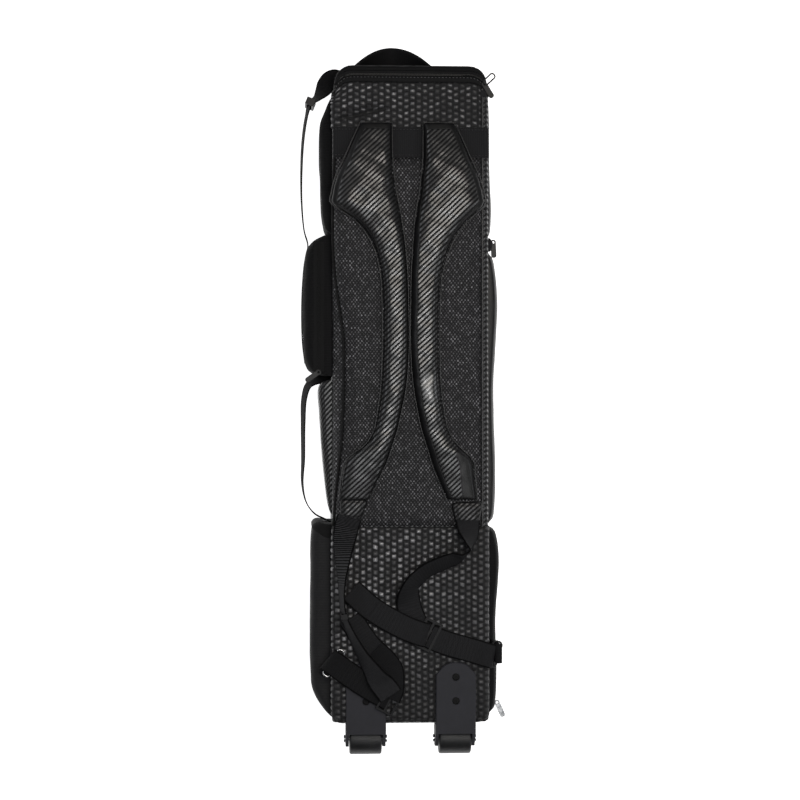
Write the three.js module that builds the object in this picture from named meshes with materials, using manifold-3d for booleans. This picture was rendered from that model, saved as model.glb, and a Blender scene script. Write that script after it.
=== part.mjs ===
// Wheeled cue case, lying on its front with its back and shoulder straps up.
// Millimetres. X runs across the back, +Y towards the lid, +Z up from the flat front face.
// The origin is the middle of the front face that the case rests on.

import * as THREE from 'three';
import { mergeVertices } from 'three/addons/utils/BufferGeometryUtils.js';
import Module from 'manifold-3d';

const wasm = await Module();
wasm.setup();

// Driving dimensions
const LENGTH = 858;
const WIDTH = 204;
const DEPTH = 160;
const PADDED_WALL = 6;
const CLOTH_WALL = 2.5;
const GAP = 0.3;
const REAR_CORNER = 8;
const FRONT_CORNER = 14;
const HALF = WIDTH / 2;
const BASE_Y = -LENGTH / 2;
const LID_Y = LENGTH / 2;
const LID_THICKNESS = 7;
const ZIP_HEIGHT = 5.4;
const ZIP_TAPE = 12;
const MOUTH_TAPER_Y = 400;

const SKIN = 3;
const MESH_PANEL = 6;
const MESH_RIM = 2;
const PIPING = 4;
const PANEL_Z = DEPTH + GAP;
const SKIN_TOP = PANEL_Z + SKIN;
const MESH_TOP = PANEL_Z + MESH_PANEL;
const MESH_PANEL_LOW_Y = -171;
const YOKE_LOW_Y = 309;
const YOKE_HIGH_Y = 347;
const UPPER_PANEL_LOW_Y = 352;
const UPPER_PANEL_HIGH_Y = 414;
const LOWER_PANEL_LOW_Y = -418;

const PAD_THICKNESS = 15;
const PAD_EDGE = 7;
const PAD_CENTRE_X = -4.5;
const PAD_Z = MESH_TOP + GAP;
const TAB_THICKNESS = 4;
const STRAP_WEBBING = 32;
const SIDE_WEBBING = 25;
const WEBBING_THICKNESS = 1.8;
const STRAP_Z = SKIN_TOP + GAP;

const WHEEL_RADIUS = 20;
const WHEEL_WIDTH = 42;
const WHEEL_EDGE = 1.8;
const WHEEL_X = 58.5;
const WHEEL_Y = BASE_Y - WHEEL_RADIUS - 1.5;
const WHEEL_Z = 140;
const AXLE_RADIUS = 3;
const AXLE_CLEARANCE = 0.4;
const BRACKET_PLATE = 4;
const BRACKET_CHEEK = 4;
const BRACKET_TOP_Y = -348;
const BRACKET_SHOULDER_Y = -363;
const BRACKET_HALF_TOP = 12;
const BRACKET_PLATE_LOW_Y = -441;
const SCREW_YS = [-367, -398];

// How far the seam on the left rear edge bows in, along the case
const DENT_ROWS = [
  { y: 260, dent: 0 },
  { y: 205, dent: 2 },
  { y: 136, dent: 9 },
  { y: 84, dent: 14 },
  { y: 6, dent: 14 },
  { y: -92, dent: 11 },
  { y: -138, dent: 6 },
  { y: -171, dent: 3 },
  { y: -200, dent: 0 },
];

// Sections of the shell from base to mouth: how far each is drawn in from the full size
const SHELL_ENDS = {
  base: [
    { y: BASE_Y, inset: 9 },
    { y: BASE_Y + 2.5, inset: 4 },
    { y: BASE_Y + 9, inset: 0 },
  ],
  mouth: [
    { y: MOUTH_TAPER_Y, inset: 0 },
    { y: 410, inset: 2.5 },
    { y: LID_Y - LID_THICKNESS - ZIP_HEIGHT - 2 * GAP, inset: 6 },
  ],
};

// One shoulder pad, from the yoke down: distances of its inner and outer edges from the middle
const PAD_ROWS = [
  { y: 351, inner: 20, outer: 63, height: 0.45 },
  { y: 331, inner: 20, outer: 72, height: 0.7 },
  { y: 306, inner: 19.5, outer: 83, height: 1 },
  { y: 282, inner: 17, outer: 94, height: 1 },
  { y: 262, inner: 15, outer: 99, height: 1 },
  { y: 249, inner: 12.5, outer: 100, height: 1 },
  { y: 240, inner: 11, outer: 89, height: 1 },
  { y: 230, inner: 9.5, outer: 75, height: 1 },
  { y: 216, inner: 8, outer: 62, height: 1 },
  { y: 202, inner: 7, outer: 53, height: 1 },
  { y: 182, inner: 5.5, outer: 46, height: 1 },
  { y: 156, inner: 4, outer: 39, height: 1 },
  { y: 124, inner: 3, outer: 37.5, height: 1 },
  { y: 58, inner: 3, outer: 37.5, height: 1 },
  { y: 13, inner: 6.5, outer: 39, height: 1 },
  { y: -21, inner: 12.5, outer: 43, height: 1 },
  { y: -46, inner: 18, outer: 48, height: 1 },
  { y: -65, inner: 24, outer: 61, height: 1 },
  { y: -76, inner: 27.5, outer: 74, height: 1 },
  { y: -84, inner: 29, outer: 83, height: 0.9 },
  { y: -107, inner: 38, outer: 87, height: 0.75 },
  { y: -137, inner: 51, outer: 90, height: 0.5 },
];

// Helpers that turn sections and outlines into closed solids

function signedVolume(positions, triangles) {
  const a = new THREE.Vector3();
  const b = new THREE.Vector3();
  const c = new THREE.Vector3();
  let volume = 0;
  for (let i = 0; i < triangles.length; i += 3) {
    a.fromArray(positions, triangles[i] * 3);
    b.fromArray(positions, triangles[i + 1] * 3);
    c.fromArray(positions, triangles[i + 2] * 3);
    volume += a.dot(b.cross(c)) / 6;
  }
  return volume;
}

function indexedGeometry(positions, triangles) {
  const outward = [...triangles];
  if (signedVolume(positions, triangles) < 0) {
    outward.reverse();
  }
  const geometry = new THREE.BufferGeometry();
  geometry.setAttribute('position', new THREE.Float32BufferAttribute(positions, 3));
  geometry.setIndex(outward);
  return geometry;
}

// Skin through rings of points; a closed loft joins its last ring to its first
function loft(rings, closed = false) {
  const count = rings[0].length;
  const positions = rings.flat().flatMap((point) => [point.x, point.y, point.z]);
  const triangles = [];
  const last = closed ? rings.length : rings.length - 1;
  for (let r = 0; r < last; r += 1) {
    const here = r * count;
    const next = ((r + 1) % rings.length) * count;
    for (let k = 0; k < count; k += 1) {
      const k2 = (k + 1) % count;
      triangles.push(here + k, here + k2, next + k2);
      triangles.push(here + k, next + k2, next + k);
    }
  }
  if (!closed) {
    const end = (rings.length - 1) * count;
    for (let k = 1; k < count - 1; k += 1) {
      triangles.push(0, k + 1, k);
      triangles.push(end, end + k, end + k + 1);
    }
  }
  return indexedGeometry(positions, triangles);
}

function asManifold(geometry) {
  const bare = geometry.clone();
  bare.deleteAttribute('normal');
  bare.deleteAttribute('uv');
  const merged = mergeVertices(bare, 1e-4);
  const mesh = new wasm.Mesh({
    numProp: 3,
    vertProperties: new Float32Array(merged.attributes.position.array),
    triVerts: new Uint32Array(merged.index.array),
  });
  return new wasm.Manifold(mesh);
}

function fromManifold(manifold) {
  const mesh = manifold.getMesh();
  const geometry = new THREE.BufferGeometry();
  geometry.setAttribute('position', new THREE.BufferAttribute(mesh.vertProperties, 3));
  geometry.setIndex(new THREE.BufferAttribute(mesh.triVerts, 1));
  return geometry;
}

function join(...geometries) {
  return fromManifold(geometries.map(asManifold).reduce((whole, piece) => whole.add(piece)));
}

function cut(geometry, ...tools) {
  const start = asManifold(geometry);
  return fromManifold(tools.map(asManifold).reduce((rest, tool) => rest.subtract(tool), start));
}

// Points of an arc about a centre in the XZ plane at height y along the case
function arcPoints(centreX, y, centreZ, radius, startTurn, endTurn, steps) {
  const points = [];
  for (let k = 0; k <= steps; k += 1) {
    const angle = THREE.MathUtils.lerp(startTurn, endTurn, k / steps) * 2 * Math.PI;
    const x = centreX + radius * Math.cos(angle);
    const z = centreZ + radius * Math.sin(angle);
    points.push(new THREE.Vector3(x, y, z));
  }
  return points;
}

// Rounded cross-section of the case; the left rear corner may be rounder than the others
function bodyRing(y, inset, dent, rearZ = DEPTH, frontZ = 0) {
  const half = HALF - inset;
  const front = FRONT_CORNER;
  const rear = REAR_CORNER;
  const bowed = REAR_CORNER + dent;
  return [
    ...arcPoints(half - front, y, frontZ + front, front, -0.25, 0, 3),
    ...arcPoints(half - rear, y, rearZ - rear, rear, 0, 0.25, 3),
    ...arcPoints(bowed - half, y, rearZ - bowed, bowed, 0.25, 0.5, 3),
    ...arcPoints(front - half, y, frontZ + front, front, 0.5, 0.75, 3),
  ];
}

function dentAt(y) {
  for (let k = 0; k < DENT_ROWS.length - 1; k += 1) {
    const upper = DENT_ROWS[k];
    const lower = DENT_ROWS[k + 1];
    if (y <= upper.y && y >= lower.y) {
      return THREE.MathUtils.mapLinear(y, upper.y, lower.y, upper.dent, lower.dent);
    }
  }
  return 0;
}

// Flat piece of an outline, with softened rims, between two heights
function slab(shape, lowZ, thickness, soften = 0.8) {
  const geometry = new THREE.ExtrudeGeometry(shape, {
    depth: thickness - 2 * soften,
    bevelEnabled: soften > 0,
    bevelThickness: soften,
    bevelSize: soften,
    bevelOffset: -soften,
    bevelSegments: 1,
    curveSegments: 3,
  });
  geometry.translate(0, 0, lowZ + soften);
  return geometry;
}

function roundedOutline(lowX, lowY, highX, highY, radius) {
  const shape = new THREE.Shape();
  shape.moveTo(lowX + radius, lowY);
  shape.lineTo(highX - radius, lowY);
  shape.absarc(highX - radius, lowY + radius, radius, -Math.PI / 2, 0);
  shape.lineTo(highX, highY - radius);
  shape.absarc(highX - radius, highY - radius, radius, 0, Math.PI / 2);
  shape.lineTo(lowX + radius, highY);
  shape.absarc(lowX + radius, highY - radius, radius, Math.PI / 2, Math.PI);
  shape.lineTo(lowX, lowY + radius);
  shape.absarc(lowX + radius, lowY + radius, radius, Math.PI, 1.5 * Math.PI);
  return shape;
}

function box(lowX, lowY, lowZ, highX, highY, highZ) {
  const geometry = new THREE.BoxGeometry(highX - lowX, highY - lowY, highZ - lowZ);
  geometry.translate((lowX + highX) / 2, (lowY + highY) / 2, (lowZ + highZ) / 2);
  return geometry;
}

function cylinderAlongX(radius, length, sides = 20) {
  return new THREE.CylinderGeometry(radius, radius, length, sides).rotateZ(Math.PI / 2);
}

// Webbing along a route; a roll of 0 lies flat and a roll of 90 stands on its edge
function webbingStrip(route, samples, width) {
  const points = route.map((row) => new THREE.Vector3(row.x, row.y, row.z));
  const curve = new THREE.CatmullRomCurve3(points, false, 'centripetal');
  const up = new THREE.Vector3(0, 0, 1);
  const rings = [];
  for (let k = 0; k <= samples; k += 1) {
    const place = k / samples;
    const along = place * (route.length - 1);
    const row = Math.min(Math.floor(along), route.length - 2);
    const roll = THREE.MathUtils.lerp(route[row].roll, route[row + 1].roll, along - row);
    const centre = curve.getPoint(place);
    const tangent = curve.getTangent(place);
    const side = new THREE.Vector3().crossVectors(tangent, up).normalize();
    side.applyAxisAngle(tangent, THREE.MathUtils.degToRad(roll));
    const normal = new THREE.Vector3().crossVectors(side, tangent);
    const corner = (across, through) => centre.clone()
      .addScaledVector(side, across * width / 2)
      .addScaledVector(normal, through * WEBBING_THICKNESS / 2);
    rings.push([corner(-1, -1), corner(1, -1), corner(1, 1), corner(-1, 1)]);
  }
  return loft(rings);
}

// Route on the back panel: lift is the height of the webbing's lowest edge above the panel
function laid(rows) {
  return rows.map((row) => {
    const turn = THREE.MathUtils.degToRad(row.roll);
    const tall = Math.abs(Math.sin(turn)) * STRAP_WEBBING;
    const thick = Math.abs(Math.cos(turn)) * WEBBING_THICKNESS;
    return { ...row, z: STRAP_Z + row.lift + (tall + thick) / 2 };
  });
}

// Route at one height along the side of the case, on its edge where a row gives no roll
function alongSide(rows, z) {
  return rows.map((row) => ({ ...row, z, roll: row.roll ?? 90 }));
}

const WIRE_SIDES = 6;

// Wire bent into a closed rounded loop lying flat, turned about Z
function wireLoop(length, width, wire, turn, x, y, z) {
  const radius = width * 0.35;
  const outline = roundedOutline(-length / 2, -width / 2, length / 2, width / 2, radius);
  const path = outline.getSpacedPoints(18).slice(0, -1);
  const rings = path.map((point, k) => {
    const before = path[(k + path.length - 1) % path.length];
    const after = path[(k + 1) % path.length];
    const tangent = after.clone().sub(before).normalize();
    const ring = [];
    for (let s = 0; s < WIRE_SIDES; s += 1) {
      const angle = s / WIRE_SIDES * 2 * Math.PI;
      const out = wire / 2 * Math.cos(angle);
      const rise = wire / 2 * Math.sin(angle);
      ring.push(new THREE.Vector3(point.x + tangent.y * out, point.y - tangent.x * out, rise));
    }
    return ring;
  });
  return loft(rings, true).rotateZ(turn).translate(x, y, z);
}

// Round cord along a route of points
function bead(points, diameter) {
  const circle = new THREE.Shape().absarc(0, 0, diameter / 2, 0, 2 * Math.PI);
  const path = new THREE.CatmullRomCurve3(points);
  return new THREE.ExtrudeGeometry(circle, { steps: 16, curveSegments: 4, extrudePath: path });
}

// Largest share of its stand-off that a side piece's rounded edge takes
const EDGE_SHARE = 0.8;

// Side piece with rounded outer edges, from rows of how proud it stands of the shell
function sidePiece(side, rows, span, face = HALF + GAP) {
  const rings = rows.map((row) => {
    const radius = Math.min(span.edge, row.proud * EDGE_SHARE);
    const low = span.low + (row.tuck ?? 0);
    const high = span.high - (row.tuck ?? 0);
    const outer = face + row.proud;
    const ring = [
      new THREE.Vector3(face, row.y, low),
      ...arcPoints(outer - radius, row.y, low + radius, radius, -0.25, 0, 3),
      ...arcPoints(outer - radius, row.y, high - radius, radius, 0, 0.25, 3),
      new THREE.Vector3(face, row.y, high),
    ];
    for (const point of ring) {
      point.y += (row.lean ?? 0) * (point.x - face);
      point.x *= side;
    }
    return ring;
  });
  return loft(rings);
}

// The same side piece as a cloth cup, open towards the shell
const POUCH_MOUTH = 2;
function sidePouch(side, rows, span) {
  const outer = sidePiece(side, rows, span);
  const inner = rows.map((row, k) => {
    const step = k === 0 ? -CLOTH_WALL : 0;
    const rise = k === rows.length - 1 ? CLOTH_WALL : 0;
    return { ...row, y: row.y + step + rise, proud: row.proud - CLOTH_WALL + POUCH_MOUTH };
  });
  const innerSpan = {
    low: span.low + CLOTH_WALL,
    high: span.high - CLOTH_WALL,
    edge: span.edge - CLOTH_WALL,
  };
  return cut(outer, sidePiece(side, inner, innerSpan, HALF + GAP - POUCH_MOUTH));
}

// Zip pull: a rounded plate with an eye, lying in the XY plane
function pullerPlate(length, width, thickness) {
  const shape = roundedOutline(-width / 2, -length, width / 2, 0, width * 0.45);
  const eye = new THREE.Path().absarc(0, -width / 2, width * 0.25, 0, 2 * Math.PI, true);
  shape.holes.push(eye);
  return slab(shape, -thickness / 2, thickness, 0.3);
}

// Finishes

const finish = (color, roughness, metalness = 0) =>
  new THREE.MeshStandardMaterial({ color, roughness, metalness });
const carbonVinyl = () => finish(0x17181a, 0.32);
const wovenFabric = () => finish(0x1d1e20, 0.5);
const meshFabric = () => finish(0x1a1a1c, 0.85);
const webbingCloth = () => finish(0x262628, 0.8);
const smoothCloth = () => finish(0x1a1b1d, 0.6);
const mouldedPlastic = () => finish(0x303036, 0.55);
const wheelRubber = () => finish(0x101012, 0.4);
const nickel = () => finish(0xc8c8cc, 0.25, 1);

const cueCase = new THREE.Group();

function addPiece(name, geometry, material) {
  const mesh = new THREE.Mesh(geometry, material);
  mesh.name = name;
  cueCase.add(mesh);
  return mesh;
}

// Padded shell, open at the lid end

const dentSections = DENT_ROWS.map((row) => ({ y: row.y, inset: 0 })).reverse();
const shellSections = [...SHELL_ENDS.base, ...dentSections, ...SHELL_ENDS.mouth];
const mouthSection = SHELL_ENDS.mouth[SHELL_ENDS.mouth.length - 1];
const shellOutside = loft(shellSections.map((row) => bodyRing(row.y, row.inset, dentAt(row.y))));
const hollowSections = [
  { y: BASE_Y + PADDED_WALL + 2, inset: PADDED_WALL },
  ...dentSections.map((row) => ({ y: row.y, inset: PADDED_WALL })),
  { y: MOUTH_TAPER_Y, inset: PADDED_WALL },
  { y: mouthSection.y + 1, inset: PADDED_WALL + mouthSection.inset },
];
const shellHollow = loft(hollowSections.map((row) => (
  bodyRing(row.y, row.inset, dentAt(row.y), DEPTH - PADDED_WALL, PADDED_WALL)
)));
addPiece('body_shell', cut(shellOutside, shellHollow), carbonVinyl());

// Zip tape round the mouth, and the padded lid above it

const zipLow = mouthSection.y + GAP;
const zipHigh = zipLow + ZIP_HEIGHT;
const ZIP_INSET = { low: 5, high: 9 };
const zipOutside = loft([bodyRing(zipLow, ZIP_INSET.low, 0), bodyRing(zipHigh, ZIP_INSET.high, 0)]);
const zipInside = loft([
  bodyRing(zipLow - 1, ZIP_INSET.low + ZIP_TAPE, 0, DEPTH - ZIP_TAPE, ZIP_TAPE),
  bodyRing(zipHigh + 1, ZIP_INSET.high + ZIP_TAPE, 0, DEPTH - ZIP_TAPE, ZIP_TAPE),
]);
addPiece('lid_zip', cut(zipOutside, zipInside), smoothCloth());

const LID_ROWS = [
  { y: zipHigh + GAP, inset: 6.5, rear: 163, front: 0 },
  { y: zipHigh + GAP + 3, inset: 9, rear: 164.5, front: 0 },
  { y: LID_Y - 1.5, inset: 15, rear: 163.5, front: 1 },
  { y: LID_Y, inset: 23, rear: 158, front: 5 },
];
const lidRings = LID_ROWS.map((row) => bodyRing(row.y, row.inset, 0, row.rear, row.front));
addPiece('lid', loft(lidRings), smoothCloth());

// Panels and piping sewn on the back

const panelRight = HALF - REAR_CORNER - GAP;
const panelLeft = -panelRight;
const PANEL_CORNER = 4;
const YOKE_CORNER = 1;
const upperOutline = roundedOutline(
  panelLeft, UPPER_PANEL_LOW_Y, panelRight, UPPER_PANEL_HIGH_Y, PANEL_CORNER,
);
addPiece('upper_woven_panel', slab(upperOutline, PANEL_Z, SKIN), wovenFabric());
const yokeOutline = roundedOutline(panelLeft, YOKE_LOW_Y + GAP, panelRight, YOKE_HIGH_Y, YOKE_CORNER);
addPiece('yoke_band', slab(yokeOutline, PANEL_Z, SKIN), webbingCloth());
const lowerOutline = roundedOutline(
  panelLeft, LOWER_PANEL_LOW_Y, panelRight, MESH_PANEL_LOW_Y - GAP, PANEL_CORNER,
);
addPiece('lower_woven_panel', slab(lowerOutline, PANEL_Z, SKIN), wovenFabric());

const meshOutline = new THREE.Shape();
meshOutline.moveTo(panelRight - PIPING, MESH_PANEL_LOW_Y);
meshOutline.lineTo(panelRight - PIPING, YOKE_LOW_Y);
meshOutline.lineTo(panelLeft + PIPING, YOKE_LOW_Y);
for (const row of DENT_ROWS.filter((dent) => dent.y > MESH_PANEL_LOW_Y)) {
  meshOutline.lineTo(panelLeft + PIPING + row.dent, row.y);
}
meshOutline.lineTo(panelLeft + PIPING + dentAt(MESH_PANEL_LOW_Y), MESH_PANEL_LOW_Y);
addPiece('back_mesh_panel', slab(meshOutline, PANEL_Z, MESH_PANEL, MESH_RIM), meshFabric());

const pipingZ = PANEL_Z + PIPING / 2;
const pipingX = panelRight - PIPING / 2 + 0.5;
const leftSeam = DENT_ROWS.filter((row) => row.y > MESH_PANEL_LOW_Y)
  .map((row) => new THREE.Vector3(row.dent - pipingX, row.y, pipingZ));
leftSeam.unshift(new THREE.Vector3(-pipingX, YOKE_LOW_Y - 1, pipingZ));
leftSeam.push(new THREE.Vector3(dentAt(MESH_PANEL_LOW_Y) - pipingX, MESH_PANEL_LOW_Y + 1, pipingZ));
addPiece('piping_left', bead(leftSeam, PIPING - 2 * GAP), smoothCloth());
const rightSeam = [YOKE_LOW_Y - 1, (YOKE_LOW_Y + MESH_PANEL_LOW_Y) / 2, MESH_PANEL_LOW_Y + 1]
  .map((y) => new THREE.Vector3(pipingX, y, pipingZ));
addPiece('piping_right', bead(rightSeam, PIPING - 2 * GAP), smoothCloth());

// Pockets and padded panels on the left side

const UPPER_SIDE_ROWS = [
  { y: 389, proud: 2, tuck: 8 },
  { y: 372, proud: 9, tuck: 2 },
  { y: 355, proud: 14 },
  { y: 300, proud: 13 },
  { y: 235, proud: 10 },
  { y: 214, proud: 7, tuck: 3 },
];
const UPPER_SIDE_SPAN = { low: 26, high: 136, edge: 8 };
addPiece('upper_side_pocket', sidePiece(-1, UPPER_SIDE_ROWS, UPPER_SIDE_SPAN), smoothCloth());

const MID_POCKET_ROWS = [
  { y: 212, proud: 9, tuck: 8 },
  { y: 205, proud: 21, tuck: 3 },
  { y: 194, proud: 31 },
  { y: 172, proud: 35.5 },
  { y: 123, proud: 38 },
  { y: 71, proud: 37 },
  { y: 36, proud: 32 },
  { y: 25, proud: 24, tuck: 3 },
];
const MID_POCKET_SPAN = { low: 26, high: 138, edge: 14 };
addPiece('mid_pocket', sidePouch(-1, MID_POCKET_ROWS, MID_POCKET_SPAN), smoothCloth());

const SIDE_PANEL_ROWS = [
  { y: 20, proud: 14, tuck: 3 },
  { y: 8, proud: 17 },
  { y: -20, proud: 16 },
  { y: -80, proud: 12 },
  { y: -120, proud: 8, tuck: 3 },
  { y: -156, proud: 3, tuck: 8 },
];
const SIDE_PANEL_SPAN = { low: 20, high: 134, edge: 12 };
addPiece('side_panel_left', sidePiece(-1, SIDE_PANEL_ROWS, SIDE_PANEL_SPAN), carbonVinyl());

const LOWER_POCKET_ROWS = [
  { y: -172, proud: 22, lean: 0.45 },
  { y: -190, proud: 27, lean: 0.2 },
  { y: -230, proud: 28 },
  { y: -370, proud: 27 },
  { y: -402, proud: 18, tuck: 2 },
  { y: -421, proud: 6, tuck: 8 },
];
const LOWER_POCKET_SPAN = { low: 24, high: 140, edge: 12 };
addPiece('lower_pocket', sidePouch(-1, LOWER_POCKET_ROWS, LOWER_POCKET_SPAN), smoothCloth());

// Slim padded panels on the right side, with a zip tab between them

const RIGHT_PANELS = [
  { name: 'upper_side_panel_right', high: 387, low: 208, proud: 6 },
  { name: 'mid_side_panel_right', high: 187, low: -168, proud: 6.5 },
  { name: 'lower_side_panel_right', high: -173, low: -416, proud: 7 },
];
const RIGHT_PANEL_SPAN = { low: 24, high: 142, edge: 5 };
const RIGHT_PANEL_END = { length: 10, proud: 2.5, tuck: 6 };
for (const panel of RIGHT_PANELS) {
  const { length, proud, tuck } = RIGHT_PANEL_END;
  const rows = [
    { y: panel.high, proud, tuck },
    { y: panel.high - length, proud: panel.proud },
    { y: panel.low + length, proud: panel.proud },
    { y: panel.low, proud, tuck },
  ];
  addPiece(panel.name, sidePiece(1, rows, RIGHT_PANEL_SPAN), smoothCloth());
}
const TAB_ROWS = [
  { y: 206, proud: 3 },
  { y: 200, proud: 7 },
  { y: 190, proud: 5 },
];
const TAB_SPAN = { low: 118, high: 146, edge: 3 };
addPiece('side_tab_right', sidePiece(1, TAB_ROWS, TAB_SPAN), webbingCloth());

// Grab handle on the lid: a wide band in an arch, leaning towards the front

const HANDLE_X = -18;
const HANDLE_Z = 84;
const HANDLE_HALF_SPAN = 51;
const HANDLE_RISE = 17;
const HANDLE_WIDTH = 40;
const HANDLE_THICKNESS = 4;
const HANDLE_FLATNESS = 1.75;
const HANDLE_FOOT_Y = LID_Y + GAP + 1.8;
function handleArch() {
  const rings = [];
  const steps = 18;
  for (let k = 0; k <= steps; k += 1) {
    const place = 1 - 2 * k / steps;
    const drop = Math.abs(place) ** HANDLE_FLATNESS;
    const slope = HANDLE_FLATNESS * Math.sign(place) * Math.abs(place) ** (HANDLE_FLATNESS - 1);
    const rise = HANDLE_RISE * (1 - drop);
    const lean = Math.asin(rise / (HANDLE_WIDTH / 2));
    const out = new THREE.Vector3(slope * HANDLE_RISE, HANDLE_HALF_SPAN, 0);
    const across = new THREE.Vector3(0, Math.sin(lean), Math.cos(lean));
    const centre = new THREE.Vector3(
      HANDLE_X + HANDLE_HALF_SPAN * place, HANDLE_FOOT_Y + rise, HANDLE_Z - rise * lean,
    );
    out.addScaledVector(across, -out.dot(across)).normalize();
    const corner = (wide, thick) => centre.clone()
      .addScaledVector(across, wide * HANDLE_WIDTH / 2)
      .addScaledVector(out, thick * HANDLE_THICKNESS / 2);
    rings.push([corner(-1, -1), corner(1, -1), corner(1, 1), corner(-1, 1)]);
  }
  return loft(rings);
}
addPiece('top_handle', handleArch(), webbingCloth());

// Shoulder pads, mirrored about the middle, and the tabs that close their lower ends

const CROWN_POINTS = 7;
const PAD_UNDERCUT = 1;
function padSection(row, side) {
  const ring = [];
  const crown = (PAD_THICKNESS - PAD_EDGE) * row.height;
  const rim = PAD_Z + PAD_EDGE * row.height;
  ring.push(new THREE.Vector3(row.outer - PAD_UNDERCUT, row.y, PAD_Z));
  ring.push(new THREE.Vector3(row.inner + PAD_UNDERCUT, row.y, PAD_Z));
  for (let k = 0; k < CROWN_POINTS; k += 1) {
    const place = k / (CROWN_POINTS - 1);
    const rise = Math.sqrt(Math.max(0, 1 - (2 * place - 1) ** 2));
    const x = THREE.MathUtils.lerp(row.inner, row.outer, place);
    ring.push(new THREE.Vector3(x, row.y, rim + crown * rise));
  }
  for (const point of ring) {
    point.x = PAD_CENTRE_X + side * point.x;
  }
  return ring;
}

const SIDES = [{ name: 'left', side: -1 }, { name: 'right', side: 1 }];
const padEnd = PAD_ROWS[PAD_ROWS.length - 1];
const TAB_LENGTH = 27;
const TAB_SPREAD = 0.5;
const TAB_CORNER = 5;
for (const { name, side } of SIDES) {
  const pad = loft(PAD_ROWS.map((row) => padSection(row, side)));
  addPiece(`shoulder_pad_${name}`, pad, carbonVinyl());
  const edges = [
    PAD_CENTRE_X + side * (padEnd.inner + TAB_SPREAD),
    PAD_CENTRE_X + side * (padEnd.outer - TAB_SPREAD),
  ].sort((a, b) => a - b);
  const tabHigh = padEnd.y - GAP;
  const tab = roundedOutline(edges[0], tabHigh - TAB_LENGTH, edges[1], tabHigh, TAB_CORNER);
  addPiece(`pad_tab_${name}`, slab(tab, PAD_Z, TAB_THICKNESS), carbonVinyl());
}

// Left strap: down from the tab, on edge through its keeper, to the lock, and its tail back up

const tabLow = padEnd.y - GAP - TAB_LENGTH;
const LEFT_WEBBING = [
  { x: -79, y: tabLow - 2, lift: 4, roll: 0 },
  { x: -79.4, y: -173, lift: 2.8, roll: 5 },
  { x: -83.5, y: -187, lift: 0.8, roll: 25 },
  { x: -86.5, y: -204, lift: 0.4, roll: 50 },
  { x: -89.5, y: -234, lift: 0.4, roll: 74 },
  { x: -90.5, y: -258, lift: 1.4, roll: 86 },
  { x: -87.5, y: -284, lift: 2.2, roll: 90 },
  { x: -77, y: -311, lift: 3, roll: 72 },
  { x: -63, y: -337, lift: 7, roll: 62 },
  { x: -48, y: -360, lift: 13, roll: 40 },
  { x: -38, y: -374, lift: 13.2, roll: 8 },
  { x: -31, y: -383, lift: 13.2, roll: 0 },
];
addPiece('strap_webbing_left', webbingStrip(laid(LEFT_WEBBING), 33, STRAP_WEBBING), webbingCloth());
const LEFT_TAIL = [
  { x: -27, y: -388, lift: 10.6, roll: 0 },
  { x: -25, y: -370, lift: 10.6, roll: 0 },
  { x: -26.5, y: -356, lift: 8.8, roll: 0 },
  { x: -36, y: -343, lift: 6.2, roll: 0 },
  { x: -46, y: -334, lift: 3.8, roll: 0 },
  { x: -56, y: -324, lift: 1.2, roll: 0 },
  { x: -79, y: -290, lift: 0.2, roll: 0 },
];
addPiece('strap_tail_left', webbingStrip(laid(LEFT_TAIL), 18, STRAP_WEBBING), webbingCloth());
const LEFT_ANCHOR = [
  { x: -95.6, y: -351.2, lift: 1.6, roll: 0 },
  { x: -86, y: -358, lift: 7, roll: 0 },
  { x: -64, y: -373, lift: 7, roll: 0 },
  { x: -48, y: -383, lift: 7, roll: 0 },
  { x: -38.2, y: -388.2, lift: 7, roll: 0 },
];
addPiece('strap_anchor_left', webbingStrip(laid(LEFT_ANCHOR), 10, STRAP_WEBBING), webbingCloth());

// Right strap: turned on edge to the left below its tab, into its lock, with its tail across the case

const RIGHT_WEBBING = [
  { x: 68, y: tabLow - 1.4, lift: 4, roll: 0 },
  { x: 68.6, y: -173, lift: 3, roll: -8 },
  { x: 73, y: -190, lift: 0.8, roll: -55 },
  { x: 75, y: -201, lift: 0.4, roll: -86 },
  { x: 69, y: -207.5, lift: 0.4, roll: -80 },
  { x: 56, y: -212, lift: 0.4, roll: -55 },
  { x: 38, y: -219, lift: 0.4, roll: -50 },
  { x: 16, y: -230, lift: 0.4, roll: -50 },
  { x: -2, y: -250, lift: 0.6, roll: -46 },
  { x: -3, y: -272, lift: 0.8, roll: -2 },
  { x: 10, y: -303, lift: 0.3, roll: 0 },
];
addPiece('strap_webbing_right', webbingStrip(laid(RIGHT_WEBBING), 40, STRAP_WEBBING), webbingCloth());
const RIGHT_TAIL = [
  { x: 16, y: -311, lift: 7.4, roll: 0 },
  { x: -9, y: -301.5, lift: 6.6, roll: 0 },
  { x: -50, y: -278, lift: 2.8, roll: 0 },
  { x: -76, y: -255, lift: 2.6, roll: 0 },
];
addPiece('strap_tail_right', webbingStrip(laid(RIGHT_TAIL), 14, STRAP_WEBBING), webbingCloth());
const RIGHT_ANCHOR = [
  { x: 34.8, y: -318.5, lift: 2.6, roll: 0 },
  { x: 46, y: -323, lift: 1, roll: 0 },
  { x: 70, y: -330, lift: 0.3, roll: 0 },
  { x: 88, y: -335.2, lift: 0.3, roll: 0 },
  { x: 95.6, y: -337.4, lift: 0.6, roll: 0 },
];
addPiece('strap_anchor_right', webbingStrip(laid(RIGHT_ANCHOR), 12, STRAP_WEBBING), webbingCloth());

// Three-bar strap locks, each in line with its webbing

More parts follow.
